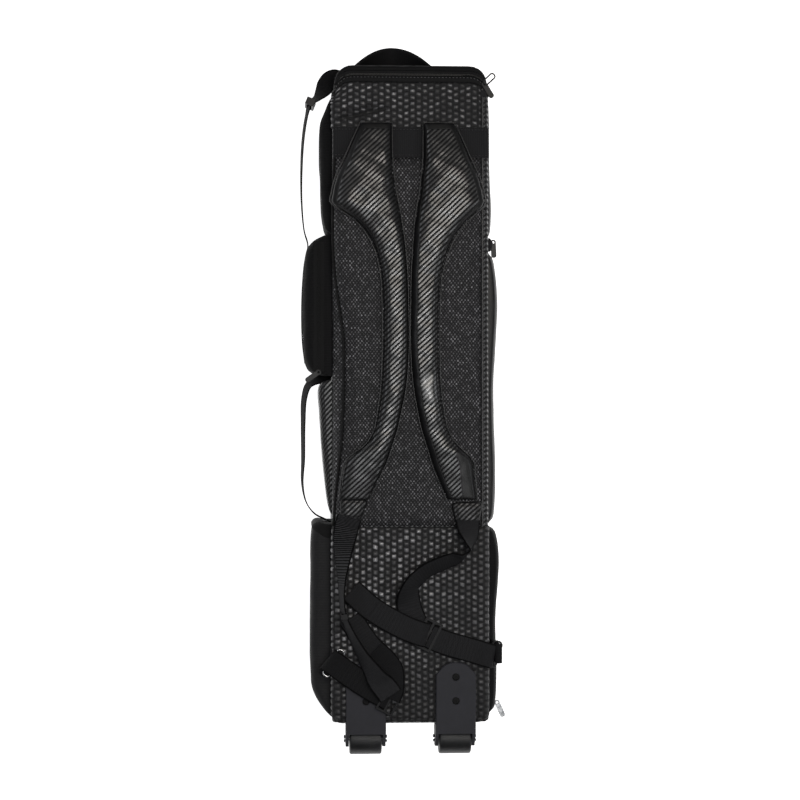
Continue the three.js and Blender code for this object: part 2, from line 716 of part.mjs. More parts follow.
const LOCK_WIDTH = 40;
const LOCK_LENGTH = 24;
const LOCK_BAR = 3;
const LOCK_THICKNESS = 4;
function ladderLock(x, y, turn, lowZ) {
  const halfWide = LOCK_WIDTH / 2;
  const halfLong = LOCK_LENGTH / 2;
  const bars = [-halfLong, -LOCK_BAR / 2, halfLong - LOCK_BAR].map((start) => (
    box(-halfWide, start, 0, halfWide, start + LOCK_BAR, LOCK_THICKNESS)
  ));
  const rails = [-halfWide, halfWide - LOCK_BAR].map((start) => (
    box(start, -halfLong, 0, start + LOCK_BAR, halfLong, LOCK_THICKNESS)
  ));
  return join(...bars, ...rails).rotateZ(turn).translate(x, y, lowZ);
}
addPiece('ladder_lock_left', ladderLock(-27, -394, 1.08, STRAP_Z + 6), mouldedPlastic());
addPiece('ladder_lock_right', ladderLock(22, -311.5, 1.1, STRAP_Z + 2.6), mouldedPlastic());

// Square loop of plastic round webbing that stands on its edge
const LOOP_LENGTH = 7;
const LOOP_WALL = 2;
const LOOP_SLOT = 4.6;
function edgeLoop(x, y, lowZ, turn, webbing) {
  const wide = LOOP_SLOT / 2 + LOOP_WALL;
  const high = webbing + 4 * GAP + 2 * LOOP_WALL;
  const outside = box(-wide, -LOOP_LENGTH / 2, 0, wide, LOOP_LENGTH / 2, high);
  const slot = box(-LOOP_SLOT / 2, -LOOP_LENGTH, LOOP_WALL, LOOP_SLOT / 2, LOOP_LENGTH, high - LOOP_WALL);
  return cut(outside, slot).rotateZ(turn).translate(x, y, lowZ);
}
addPiece('strap_keeper_left', edgeLoop(-87.3, -285, STRAP_Z - 0.2, 0.25, STRAP_WEBBING), mouldedPlastic());

// Rings and sewn tabs that hold the strap anchors at the rear edges

const RING_WIRE = 2.6;
const RING_LENGTH = 40;
const RING_WIDTH = 13;
const TAB_TOP_Z = STRAP_Z - 2 * GAP;
const TAB_LOW_Z = 143.5;
const RINGS = [
  { name: 'left', x: -102.4, y: -346.4, turn: 0.97, side: -1 },
  { name: 'right', x: 104, y: -340, turn: 1.265, side: 1 },
];
for (const ring of RINGS) {
  const ringZ = STRAP_Z + RING_WIRE / 2;
  const loop = wireLoop(RING_LENGTH, RING_WIDTH, RING_WIRE, ring.turn, ring.x, ring.y, ringZ);
  addPiece(`anchor_ring_${ring.name}`, loop, nickel());
  const faces = [HALF + GAP, HALF + GAP + WEBBING_THICKNESS].map((x) => ring.side * x).sort((a, b) => a - b);
  const half = STRAP_WEBBING / 2;
  const tab = box(faces[0], ring.y - half, TAB_LOW_Z, faces[1], ring.y + half, TAB_TOP_Z);
  addPiece(`anchor_tab_${ring.name}`, tab, webbingCloth());
}

// Strap along the upper left side, its slider, and the carrying strap below it

const SIDE_STRAP_Z = 96;
const SIDE_STRAP = [
  { x: -HALF - 1.8, y: 402.5, roll: 0 },
  { x: -110, y: 402, roll: 4 },
  { x: -119, y: 395, roll: 40 },
  { x: -126.5, y: 385, roll: 84 },
  { x: -131, y: 376 },
  { x: -135, y: 362 },
  { x: -140, y: 324 },
  { x: -142, y: 270 },
  { x: -142, y: 225 },
  { x: -142, y: 180 },
  { x: -142.6, y: 123 },
  { x: -142, y: 71 },
  { x: -138, y: 42 },
];
const sideStrap = webbingStrip(alongSide(SIDE_STRAP, SIDE_STRAP_Z), 36, SIDE_WEBBING);
addPiece('side_strap_upper', sideStrap, webbingCloth());
const loopLowZ = SIDE_STRAP_Z - SIDE_WEBBING / 2 - 2 * GAP - LOOP_WALL;
addPiece('side_strap_slider', edgeLoop(-131.4, 375.2, loopLowZ, -0.4, SIDE_WEBBING), nickel());
const SIDE_HANDLE = [
  { x: -HALF - GAP, y: 22.5 },
  { x: -112, y: 22.5 },
  { x: -122, y: 22 },
  { x: -133, y: 14, roll: 76 },
  { x: -139, y: -4, roll: 72 },
  { x: -140, y: -40, roll: 78 },
  { x: -140, y: -85, roll: 78 },
  { x: -141, y: -118, roll: 80 },
  { x: -136, y: -142, roll: 86 },
  { x: -125, y: -157.5 },
  { x: -112, y: -164.6 },
  { x: -HALF - 1, y: -168.4 },
];
const sideHandle = webbingStrip(alongSide(SIDE_HANDLE, SIDE_STRAP_Z), 36, SIDE_WEBBING);
addPiece('side_handle', sideHandle, webbingCloth());

// Zip pulls, and the ring and cloth tab at the right end of the lid zip

const PULLER_LENGTH = 24;
const PULLER_WIDTH = 7;
const PULLER_THICKNESS = 1.6;
const PULLERS = [
  { name: 'lid_puller', x: 94, y: 408, z: STRAP_Z + PULLER_THICKNESS / 2, turn: 0.55 },
  { name: 'side_puller_right', x: 112.4, y: 200, z: 132, turn: 0.05 },
  { name: 'base_puller', x: 111.8, y: -396, z: 122, turn: 0.42 },
  { name: 'mid_pocket_puller', x: -112, y: 38, z: MID_POCKET_SPAN.high + 1.3, turn: -0.95 },
];
for (const puller of PULLERS) {
  const plate = pullerPlate(PULLER_LENGTH, PULLER_WIDTH, PULLER_THICKNESS).rotateZ(puller.turn);
  addPiece(puller.name, plate, nickel()).position.set(puller.x, puller.y, puller.z);
}
const LID_RING = { length: 17, width: 7, wire: 2, turn: 0.75, x: 102, y: 411.5 };
const lidRingZ = STRAP_Z + PULLER_THICKNESS + GAP + LID_RING.wire / 2;
const lidRing = wireLoop(
  LID_RING.length, LID_RING.width, LID_RING.wire, LID_RING.turn, LID_RING.x, LID_RING.y, lidRingZ,
);
addPiece('lid_ring', lidRing, nickel());
const CORNER_TAB = { lowX: 78, lowY: 386, side: 14, radius: 2 };
const cornerOutline = roundedOutline(
  CORNER_TAB.lowX, CORNER_TAB.lowY, CORNER_TAB.lowX + CORNER_TAB.side, CORNER_TAB.lowY + CORNER_TAB.side,
  CORNER_TAB.radius,
);
addPiece('corner_tab_right', slab(cornerOutline, STRAP_Z, WEBBING_THICKNESS, 0.4), webbingCloth());

// Wheels with their brackets, axles and screws

const WHEEL_PLAY = 1;
const CHEEK = { sink: 1.5, reach: 9, above: 8, below: 10, corner: 5 };
function wheelBracket() {
  const halfPlate = WHEEL_WIDTH / 2 + WHEEL_PLAY + BRACKET_CHEEK;
  const shape = new THREE.Shape();
  shape.moveTo(-halfPlate, BRACKET_PLATE_LOW_Y);
  shape.lineTo(halfPlate, BRACKET_PLATE_LOW_Y);
  shape.lineTo(halfPlate, BRACKET_SHOULDER_Y);
  shape.lineTo(BRACKET_HALF_TOP, BRACKET_TOP_Y);
  shape.lineTo(-BRACKET_HALF_TOP, BRACKET_TOP_Y);
  shape.lineTo(-halfPlate, BRACKET_SHOULDER_Y);
  const plateZ = SKIN_TOP + GAP;
  const plate = slab(shape, plateZ, BRACKET_PLATE, 0.8);
  const cheekOutline = new THREE.Shape();
  const cheekHigh = BASE_Y - 1;
  const cheekLow = WHEEL_Y - CHEEK.reach;
  const cheekUnder = WHEEL_Z - CHEEK.below;
  cheekOutline.moveTo(cheekHigh, plateZ + CHEEK.sink);
  cheekOutline.lineTo(BRACKET_PLATE_LOW_Y + 1, plateZ + CHEEK.sink);
  cheekOutline.lineTo(cheekLow, WHEEL_Z + CHEEK.above);
  cheekOutline.lineTo(cheekLow, cheekUnder + CHEEK.corner);
  cheekOutline.lineTo(cheekLow + CHEEK.corner, cheekUnder);
  cheekOutline.lineTo(cheekHigh - CHEEK.corner, cheekUnder);
  cheekOutline.lineTo(cheekHigh, cheekUnder + CHEEK.corner);
  const hole = new THREE.Path().absarc(WHEEL_Y, WHEEL_Z, AXLE_RADIUS + AXLE_CLEARANCE, 0, 2 * Math.PI, true);
  cheekOutline.holes.push(hole);
  const cheek = new THREE.ExtrudeGeometry(cheekOutline, {
    depth: BRACKET_CHEEK, bevelEnabled: false, curveSegments: 10,
  });
  cheek.applyMatrix4(new THREE.Matrix4().set(0, 0, 1, 0, 1, 0, 0, 0, 0, 1, 0, 0, 0, 0, 0, 1));
  const left = cheek.clone().translate(-halfPlate, 0, 0);
  const right = cheek.clone().translate(halfPlate - BRACKET_CHEEK, 0, 0);
  return join(plate, left, right);
}

function wheel() {
  const half = WHEEL_WIDTH / 2;
  const bore = AXLE_RADIUS + AXLE_CLEARANCE;
  const profile = [
    [bore, -half],
    [WHEEL_RADIUS - WHEEL_EDGE, -half],
    [WHEEL_RADIUS, -half + WHEEL_EDGE],
    [WHEEL_RADIUS, half - WHEEL_EDGE],
    [WHEEL_RADIUS - WHEEL_EDGE, half],
    [bore, half],
    [bore, -half],
  ].map(([radius, along]) => new THREE.Vector2(radius, along));
  return new THREE.LatheGeometry(profile, 32).rotateZ(Math.PI / 2);
}

const AXLE_HEAD = 2;
function axle() {
  const reach = WHEEL_WIDTH / 2 + WHEEL_PLAY + BRACKET_CHEEK + GAP;
  const pin = cylinderAlongX(AXLE_RADIUS, 2 * reach);
  const heads = [-1, 1].map((end) => (
    cylinderAlongX(AXLE_RADIUS + AXLE_HEAD, AXLE_HEAD).translate(end * (reach + AXLE_HEAD / 2), 0, 0)
  ));
  return join(pin, ...heads);
}

const SCREW = { top: 3, rim: 4.2, height: 2, slot: 1, slotFloor: 0.2 };
function screwHead() {
  const head = new THREE.CylinderGeometry(SCREW.top, SCREW.rim, SCREW.height, 16).rotateX(Math.PI / 2);
  const slot = box(-SCREW.top, -SCREW.slot / 2, SCREW.slotFloor, SCREW.top, SCREW.slot / 2, SCREW.height);
  return cut(head, slot);
}
const plateTop = SKIN_TOP + GAP + BRACKET_PLATE;
const screwZ = plateTop + GAP + SCREW.height / 2;
for (const { name, side } of SIDES) {
  const x = side * WHEEL_X;
  addPiece(`wheel_bracket_${name}`, wheelBracket(), mouldedPlastic()).position.set(x, 0, 0);
  addPiece(`wheel_${name}`, wheel(), wheelRubber()).position.set(x, WHEEL_Y, WHEEL_Z);
  addPiece(`axle_${name}`, axle(), nickel()).position.set(x, WHEEL_Y, WHEEL_Z);
  SCREW_YS.forEach((y, k) => {
    addPiece(`bracket_screw_${name}_${k + 1}`, screwHead(), nickel()).position.set(x, y, screwZ);
  });
}

export default cueCase;
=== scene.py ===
# %% [markdown]
# # A wheeled cue case
# A tall padded case for billiard cues, lying on its front with its back and two shoulder straps up. The
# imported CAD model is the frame. Each soft piece is made again over it with its true surface, and the hard
# pieces get softer edges and a finish of their own.

# %% Load the frame
import math

import bpy
import numpy as np
from mathutils import Matrix, Vector


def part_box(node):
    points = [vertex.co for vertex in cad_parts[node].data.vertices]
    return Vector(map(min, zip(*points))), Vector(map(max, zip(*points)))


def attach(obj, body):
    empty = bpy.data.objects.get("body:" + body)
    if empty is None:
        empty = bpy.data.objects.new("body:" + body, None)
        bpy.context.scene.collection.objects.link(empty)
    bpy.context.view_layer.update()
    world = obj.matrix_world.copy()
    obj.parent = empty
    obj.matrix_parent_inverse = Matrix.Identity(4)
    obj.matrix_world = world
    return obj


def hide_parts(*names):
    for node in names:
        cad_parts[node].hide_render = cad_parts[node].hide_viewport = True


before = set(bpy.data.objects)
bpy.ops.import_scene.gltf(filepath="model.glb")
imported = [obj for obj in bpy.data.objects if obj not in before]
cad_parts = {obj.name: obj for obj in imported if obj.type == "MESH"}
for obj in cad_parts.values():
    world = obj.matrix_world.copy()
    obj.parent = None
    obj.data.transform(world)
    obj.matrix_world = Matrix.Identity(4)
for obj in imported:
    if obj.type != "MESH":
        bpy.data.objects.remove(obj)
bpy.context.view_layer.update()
MM = 0.001

# %% [markdown]
# ## Camera, floor and light
# The photograph looks almost straight down on the back. A long lens keeps the sides nearly parallel, and
# the camera stands three degrees to the left, so that a little of the left pockets shows. Black vinyl shows
# what it mirrors: a dim room keeps it black, and a small flash and four softboxes draw its sheen. One
# bright dome would be simpler, but it would turn all of the vinyl grey.

# %% Camera
AIM = Vector((-0.0143, -0.0065, 0.165))
CAMERA_DISTANCE = 2.6
CAMERA_YAW = math.radians(3)
CAMERA_LENS = 90
PICTURE_UP = Vector((0, 1, 0))


def nothing_selected():
    bpy.ops.object.select_all(action="DESELECT")


def turned_to(place, target):
    """A turn that looks from place to target, with the lid end upwards in the picture."""
    back = (place - target).normalized()
    right = PICTURE_UP.cross(back).normalized()
    return Matrix((right, back.cross(right), back)).transposed().to_euler()


nothing_selected()
camera_place = AIM + CAMERA_DISTANCE * Vector((-math.sin(CAMERA_YAW), 0, math.cos(CAMERA_YAW)))
bpy.ops.object.camera_add(location=camera_place, rotation=turned_to(camera_place, AIM))
camera = bpy.context.object
camera.data.lens = CAMERA_LENS
bpy.context.scene.camera = camera
bpy.context.scene.view_settings.view_transform = "Standard"
print("camera at", [round(s, 3) for s in camera_place])

# %% Floor and softboxes
FLOOR_DROP = 0.001
FLOOR_SIZE = 9
LIGHT_AIM = Vector((0, 0, 0.15))
ROOM_LIGHT = 0.05
SOFTBOXES = (
    # name, place, size across and along, watts, colour
    ("flash", (0.19, 0.03, 2.6), (0.2, 0.2), 5.0, (1.0, 0.98, 0.96)),
    ("warm_softbox", (0.3, 0.5, 2.28), (1.15, 0.46), 12.0, (1.0, 0.93, 0.84)),
    ("top_softbox", (0.2, -0.2, 2.3), (1.3, 1.0), 12.6, (0.96, 0.98, 1.0)),
    ("left_softbox", (-1.3, 0.5, 1.5), (0.5, 1.6), 5.0, (0.92, 0.95, 1.0)),
    ("right_softbox", (1.4, -0.3, 1.3), (0.5, 1.6), 6.0, (0.95, 0.97, 1.0)),
)

nothing_selected()
bpy.ops.mesh.primitive_plane_add(size=FLOOR_SIZE, location=(0, 0, -FLOOR_DROP))
floor = bpy.context.object
floor.name = "floor"
floor_paint = bpy.data.materials.new("pale_floor")
floor_paint.use_nodes = True
floor_shader = floor_paint.node_tree.nodes["Principled BSDF"]
floor_shader.inputs["Base Color"].default_value = (0.92, 0.92, 0.92, 1)
floor_shader.inputs["Roughness"].default_value = 0.9
floor_shader.inputs["Emission Color"].default_value = (1, 1, 1, 1)
floor_shader.inputs["Emission Strength"].default_value = 0.95
floor.data.materials.append(floor_paint)

for name, place, size, watts, colour in SOFTBOXES:
    turn = turned_to(Vector(place), LIGHT_AIM)
    bpy.ops.object.light_add(type="AREA", location=place, rotation=turn)
    lamp = bpy.context.object
    lamp.name = name
    lamp.data.shape = "RECTANGLE"
    lamp.data.size, lamp.data.size_y = size
    lamp.data.energy = watts
    lamp.data.color = colour

room = bpy.data.worlds.new("room")
bpy.context.scene.world = room
room.use_nodes = True
room.node_tree.nodes["Background"].inputs["Color"].default_value = (0.9, 0.93, 1.0, 1)
room.node_tree.nodes["Background"].inputs["Strength"].default_value = ROOM_LIGHT
print(len(SOFTBOXES), "lights over a pale floor")

# %% [markdown]
# ## Writing finishes as sums
# Every finish here is a pattern of ribs, cells or threads, so it is easier to read as arithmetic than as
# boxes and lines. A Wire holds one socket, and a sum on wires adds the Math nodes. A Finish is one material
# with its shader, and it hands out the object's own coordinates, which are metres of the real case.


# %% Wires
class Wire:
    """One socket of a material. Sums on wires add Math nodes."""

    def __init__(self, tree, socket=None):
        self.tree = tree
        self.socket = socket

    def node(self, kind, settings=(), sockets=(), out=0):
        made = self.tree.nodes.new(kind)
        for name, value in dict(settings).items():
            setattr(made, name, value)
        for name, value in dict(sockets).items():
            if isinstance(value, Wire):
                self.tree.links.new(value.socket, made.inputs[name])
            else:
                made.inputs[name].default_value = value
        return Wire(self.tree, made.outputs[out])

    def maths(self, operation, *values):
        return self.node("ShaderNodeMath", {"operation": operation}, enumerate(values))

    def __add__(self, other):
        return self.maths("ADD", self, other)

    def __sub__(self, other):
        return self.maths("SUBTRACT", self, other)

    def __rsub__(self, other):
        return self.maths("SUBTRACT", other, self)

    def __mul__(self, other):
        return self.maths("MULTIPLY", self, other)

    def __truediv__(self, other):
        return self.maths("DIVIDE", self, other)

    __radd__ = __add__
    __rmul__ = __mul__

    def whole(self):
        return self.maths("FLOOR", self)

    def part(self):
        return self.maths("FRACT", self)

    def size(self):
        return self.maths("ABSOLUTE", self)

    def wave(self, pitch, shift=0.0):
        """Runs from 0 to 1 and back once in each pitch."""
        return self.maths("SINE", self * (2 * math.pi / pitch) + shift) * 0.5 + 0.5

    def step(self, low, high):
        """0 below low, 1 above high, and soft between."""
        return self.node(
            "ShaderNodeMapRange", {"interpolation_type": "SMOOTHSTEP"},
            {"Value": self, "From Min": low, "From Max": high},
        )


print("wires add Math nodes")


# %% Finishes
class Finish:
    """One material: its shader, and the coordinates that its patterns are drawn on."""

    def __init__(self, name, colour, roughness, constants=()):
        self.material = bpy.data.materials.new(name)
        self.material.use_nodes = True
        self.tree = self.material.node_tree
        self.shader = self.tree.nodes["Principled BSDF"]
        self.shader.inputs["Base Color"].default_value = (*colour, 1)
        self.shader.inputs["Roughness"].default_value = roughness
        for socket, value in dict(constants).items():
            self.shader.inputs[socket].default_value = value
        self.start = Wire(self.tree)
        self.points = self.start.node("ShaderNodeTexCoord", out="Object")

    def axes(self, points=None):
        split = self.start.node("ShaderNodeSeparateXYZ", (), {0: points or self.points})
        return [Wire(self.tree, output) for output in split.socket.node.outputs]

    def flat(self):
        """Metres across and along a strip, from its own map."""
        return self.axes(self.start.node("ShaderNodeTexCoord", out="UV"))[:2]

    def marked(self, name):
        """A number that the piece carries at each of its points."""
        return self.start.node("ShaderNodeAttribute", {"attribute_name": name}, out="Fac")

    def noise(self, scale, detail):
        return self.start.node(
            "ShaderNodeTexNoise", (), {"Vector": self.points, "Scale": scale, "Detail": detail}
        )

    def chance(self, first, second):
        """One random number for each whole pair of numbers."""
        cell = self.start.node("ShaderNodeCombineXYZ", (), {0: first, 1: second})
        return self.start.node("ShaderNodeTexWhiteNoise", {"noise_dimensions": "3D"}, {"Vector": cell})

    def colours(self, mask, dark, light):
        """Base colour from dark to light by mask."""
        mixed = self.start.node(
            "ShaderNodeMix", {"data_type": "RGBA"}, {0: mask, 6: (*dark, 1), 7: (*light, 1)}, out=2
        )
        self.feed("Base Color", mixed)

    def feed(self, socket, wire):
        self.tree.links.new(wire.socket, self.shader.inputs[socket])

    def relief(self, height, depth):
        """Raises the surface by height (0 to 1) times depth in metres."""
        bump = self.start.node("ShaderNodeBump", (), {"Height": height, "Distance": depth, "Strength": 1.0})
        self.feed("Normal", bump)


print("finishes can be written as sums")

# %% [markdown]
# ## Embossed vinyl
# The pads and sides are a coated vinyl pressed with the slanting ribs of a twill. The ribs are cord-like,
# about five millimetres apart, and their tops are polished, so they catch the light. Their tops are also
# painted lighter and the grooves painted near black, a painted light and shade on the ribs. Modelled ribs
# would need millions of faces, so they are relief in the finish, drawn on the case's own metres. On the pads
# the ribs stop at a smooth binding. Each point of a pad carries its distance from that seam.

# %% Vinyl finishes
RIB_PITCH = 0.0048
RIB_SLANT = math.radians(43)
THREAD_PITCH = 0.0024
RUBBED_X, RUBBED_Y = 0.026, 0.01


def ribs(finish, first, second):
    """Height of slanting ribs with the threads that cross them, and the rib tops alone."""
    along = first * math.cos(RIB_SLANT) + second * math.sin(RIB_SLANT)
    across = second * math.cos(RIB_SLANT) - first * math.sin(RIB_SLANT)
    wander = finish.noise(22.0, 1.0) * 0.0022
    rib = (across + wander).wave(RIB_PITCH)
    thread = along.wave(THREAD_PITCH, (across / RIB_PITCH).whole() * 2.3)
    return rib * (0.85 + thread * 0.15), rib


def vinyl_of_pads(name, polish):
    finish = Finish(name, (0.012, 0.012, 0.012), 0.4,
                    {"Specular IOR Level": 0.25, "Coat Roughness": 0.26, "Coat IOR": 1.6})
    x, y = finish.axes()[:2]
    height, top = ribs(finish, x, y)
    seam = finish.marked("seam")
    inside = seam.step(0.93, 1.03)
    groove = 1 - (seam - 0.98).size().step(0.0, 0.12)
    scuff = finish.noise(35.0, 4.0)
    crest = inside * top.step(0.3, 0.75)
    off_x, off_y = x - RUBBED_X, y - RUBBED_Y
    rubbed = 1 - (off_x * off_x + off_y * off_y * 0.5).step(0.00002, 0.00028)
    # Painted light and shade: the rib crests are painted lighter and the grooves near black.
    finish.colours(crest, (0.002, 0.002, 0.0023), (0.02, 0.02, 0.0205))
    finish.feed("Roughness", 0.7 - crest * 0.3 - (1 - inside) * 0.2 + scuff * 0.1)
    finish.feed("Coat Weight", crest * (0.5 + scuff * 0.7) * polish + (1 - inside) * 0.16 + rubbed * 0.5)
    grain = finish.noise(900.0, 3.0)
    finish.relief(height * inside * (1 - rubbed * 0.8) + grain * 0.06 - groove * 1.4, 0.0004)
    return finish.material


def vinyl_of_sides():
    finish = Finish("ribbed_vinyl_sides", (0.01, 0.01, 0.01), 0.4,
                    {"Specular IOR Level": 0.3, "Coat Roughness": 0.2})
    x, y, z = finish.axes()
    height, top = ribs(finish, y, x + z)
    scuff = finish.noise(28.0, 4.0)
    crest = top.step(0.35, 0.85)
    # Painted light and shade: the rib crests are painted lighter and the grooves near black.
    finish.colours(crest, (0.003, 0.003, 0.0034), (0.02, 0.02, 0.0205))
    finish.feed("Roughness", 0.66 - crest * 0.24 + scuff * 0.1)
    finish.feed("Coat Weight", crest * (0.4 + scuff * 0.6))
    finish.relief(height, 0.0005)
    return finish.material


print("ribs", RIB_PITCH, "m apart")


# %% Smooth vinyls
def smooth_vinyl():
    finish = Finish("smooth_vinyl", (0.01, 0.01, 0.0105), 0.38, {"Coat Weight": 0.15, "Coat Roughness": 0.2})
    scuff = finish.noise(40.0, 4.0)
    grain = finish.noise(1100.0, 3.0)
    finish.colours(scuff.step(0.35, 0.75), (0.005, 0.005, 0.0055), (0.011, 0.011, 0.0115))
    finish.feed("Roughness", 0.34 + scuff * 0.24)
    finish.relief(grain + scuff * 0.6, 0.00018)
    return finish.material


def gloss_vinyl():
    finish = Finish("gloss_vinyl", (0.006, 0.006, 0.0063), 0.22,
                    {"Coat Weight": 0.04, "Coat Roughness": 0.2, "Specular IOR Level": 0.2})
    scuff = finish.noise(30.0, 3.0)
    finish.colours(scuff.step(0.35, 0.75), (0.004, 0.004, 0.0042), (0.009, 0.009, 0.0094))
    finish.feed("Roughness", 0.34 + scuff * 0.2)
    finish.relief(finish.noise(500.0, 3.0), 0.00006)
    return finish.material


PAD_VINYL = vinyl_of_pads("ribbed_vinyl_pads", 1.0)
TAB_VINYL = vinyl_of_pads("ribbed_vinyl_tabs", 0.3)
SIDE_VINYL = vinyl_of_sides()
SMOOTH_VINYL = smooth_vinyl()
GLOSS_VINYL = gloss_vinyl()
print("five vinyl finishes")

# %% [markdown]
# ## Cloths and webbing
# The back has two cloths: a coarse basket cloth whose cells are big enough to be modelled, and a spacer
# mesh, whose knitted face is a field of small knots with a painted shine. The pockets are a fine ribbed
# nylon.
# The webbing is polyester tape with ribs across it, and its pattern follows the strap, so it is drawn on the
# strap's own map. A picture of cloth would repeat and carry its own light. Patterns from arithmetic don't
# repeat, but some of these carry painted light too: glints and a falloff of light on the basket cloth, shade
# in its crease and along its edges, the knots' shine, shade along the webbing's edges and a darker webbing
# copy.

# %% Cloth finishes
CELL_WIDE = 0.0081
CELL_LONG = 0.0082
MESH_WIDE = 0.0044
MESH_LONG = 0.0056


def basket_cloth(name, painted_glint_low, painted_glint_high, painted_falloff_low, painted_falloff_high, painted_falloff_right):
    finish = Finish(name, (0.014, 0.014, 0.015), 0.45,
                    {"Specular IOR Level": 0.4, "Coat Roughness": 0.3, "Coat IOR": 1.6})
    across, along = finish.flat()
    column = (across / CELL_WIDE).whole()
    row = along / CELL_LONG + (column * 0.5).part()
    lot = finish.chance(column, row.whole())
    slant = finish.chance(row.whole(), column + 7.0) - 0.5
    frayed = finish.noise(420.0, 2.0) * 0.16 - 0.08
    side = (across / CELL_WIDE).part() - 0.5
    u = (side + frayed).size()
    v = (row.part() - 0.56 + side * slant * 0.7 + frayed).size()
    across_tile = 1 - u.step(0.2, 0.44)
    # Painted highlight: the tile mask is a short bright dash near the top of each cell, painted into its
    # colour as the cell's glint.
    tile = across_tile * (1 - v.step(painted_glint_low, painted_glint_high))
    whole_tile = across_tile * (1 - (row.part() - 0.5).size().step(0.3, 0.46))
    fibres = across.wave(0.0009) * 0.6 + along.wave(0.0013) * 0.4
    x, y = finish.axes()[:2]
    # Painted light: the glints are painted dimmer towards the base and towards the right, where less light
    # falls on them.
    painted_light_falloff = (0.2 + y.step(painted_falloff_low, painted_falloff_high) * 0.8) * (1.25 - x.step(0.0, 0.085) * painted_falloff_right)
    # Painted shade: the crease mark paints the ground black in the crease and along the panel's edges, and
    # keeps the glints out of them.
    clear = 1 - finish.marked("crease")
    raised = clear * painted_light_falloff
    # The cells' own tone plus each cell's painted highlight, brighter at random from cell to cell.
    bright = (whole_tile * 0.12 + tile * lot * lot * 1.25) * (0.6 + fibres * 0.4)
    finish.colours(clear * 0.055 + bright * raised * 0.945, (0.001, 0.001, 0.0011), (0.11, 0.108, 0.115))
    finish.feed("Roughness", 0.8 - tile * 0.3)
    finish.feed("Coat Weight", tile * raised * (0.1 + lot * 0.9))
    finish.relief(fibres, 0.0001)
    return finish.material


def spacer_mesh():
    finish = Finish("spacer_mesh", (0.012, 0.012, 0.013), 0.8, {"Specular IOR Level": 0.3})
    x, y = finish.axes()[:2]
    wander = finish.noise(120.0, 2.0) * 0.0022
    across, along = (x + wander) / MESH_WIDE, (y + wander) / MESH_LONG
    knots = across.wave(1.0) * along.wave(1.0) + across.wave(1.0, math.pi) * along.wave(1.0, math.pi)
    knot = knots.step(0.4, 0.8)
    lot = finish.chance((across * 2).whole(), (along * 2).whole())
    patchy = finish.noise(60.0, 3.0).step(0.3, 0.7)
    grit = finish.noise(800.0, 2.0).step(0.35, 0.65)
    # Painted highlight: the knots' shine, brighter at random and in patches, is painted into their colour.
    shine = knot * (0.3 + grit * 0.9) * (0.12 + lot * lot * (0.4 + patchy * 0.7))
    finish.colours(shine, (0.0075, 0.0075, 0.0082), (0.24, 0.236, 0.25))
    finish.feed("Roughness", 0.75 - knot * 0.2)
    finish.relief(knot, 0.0006)
    return finish.material


print("two cloths for the back")


# %% Webbing, nylon and thread
def webbing_tape(name, dark, light, contrast, ribbed_length=0.0):
    finish = Finish(name, (0.012, 0.012, 0.013), 0.75, {"Specular IOR Level": 0.1})
    across, along = finish.flat()
    extra = 2.2 if ribbed_length else 0.0
    strength = contrast + (1 - along.step(ribbed_length, ribbed_length + 0.02)) * extra
    rib = along.wave(0.0028)
    herring = (across.wave(0.0105) * 0.0011 + along).wave(0.0013)
    fuzz = finish.noise(700.0, 2.0)
    shade = 0.5 + (rib - 0.5) * strength + (herring - 0.5) * 0.2 + (fuzz - 0.5) * 0.4
    # Painted shade: both edges of the tape are painted dark, as the shade where the tape turns on its edge.
    shade = shade * (1 - finish.marked("edge").step(0.84, 0.95))
    finish.colours(shade, (dark, dark, dark * 1.07), (light, light, light * 1.07))
    finish.feed("Roughness", 0.7 + fuzz * 0.24)
    finish.relief(rib * (strength + 0.15) + herring * 0.25 + fuzz * 0.25, 0.0003)
    return finish.material


def pocket_nylon(name, dark, light, shine):
    finish = Finish(name, (0.008, 0.008, 0.009), 0.55, {"Specular IOR Level": shine})
    x, y, z = finish.axes()
    cord = y.wave(0.0021) * 0.7 + (x + z).wave(0.0013) * 0.3
    broad = finish.noise(26.0, 4.0)
    finish.colours(cord * 0.6 + broad * 0.4, (dark, dark, dark * 1.1), (light, light, light * 1.08))
    finish.feed("Roughness", 0.6 + broad * 0.22)
    finish.relief(cord + broad * 0.5, 0.00022)
    return finish.material


def thread(name, colour):
    finish = Finish(name, colour, 0.55)
    x, y, z = finish.axes()
    twist = (x + y + z).wave(0.0006)
    finish.relief(twist, 0.0001)
    finish.feed("Roughness", 0.45 + twist * 0.2)
    return finish.material


# The numbers give the painted glint's place in each cell and where the painted falloff of light begins and
# ends.
BASKET = basket_cloth("basket_cloth", 0.16, 0.4, -0.43, -0.25, 0.76)
FLAT_BASKET = basket_cloth("flat_basket_cloth", 0.05, 0.3, -1.0, -0.9, 0.45)
MESH = spacer_mesh()
WEBBING = webbing_tape("webbing_tape", 0.002, 0.03, 0.1)
# A darker copy of the webbing as painted shade, used for the side straps, the top handle, the left strap's
# tail and anchor and the right ring's tab.
PAINTED_SHADE_WEBBING = webbing_tape("webbing_tape_painted_shade", 0.001, 0.018, 0.1)
RIBBED_WEBBING = webbing_tape("ribbed_webbing_tape", 0.001, 0.04, 0.06, 0.08)
NYLON = pocket_nylon("pocket_nylon", 0.0015, 0.01, 0.12)
OPEN_NYLON = pocket_nylon("open_pocket_nylon", 0.006, 0.019, 0.25)
BLACK_THREAD = thread("black_thread", (0.014, 0.014, 0.015))
GREY_THREAD = thread("grey_thread", (0.11, 0.11, 0.115))
print("ten cloth and thread finishes")

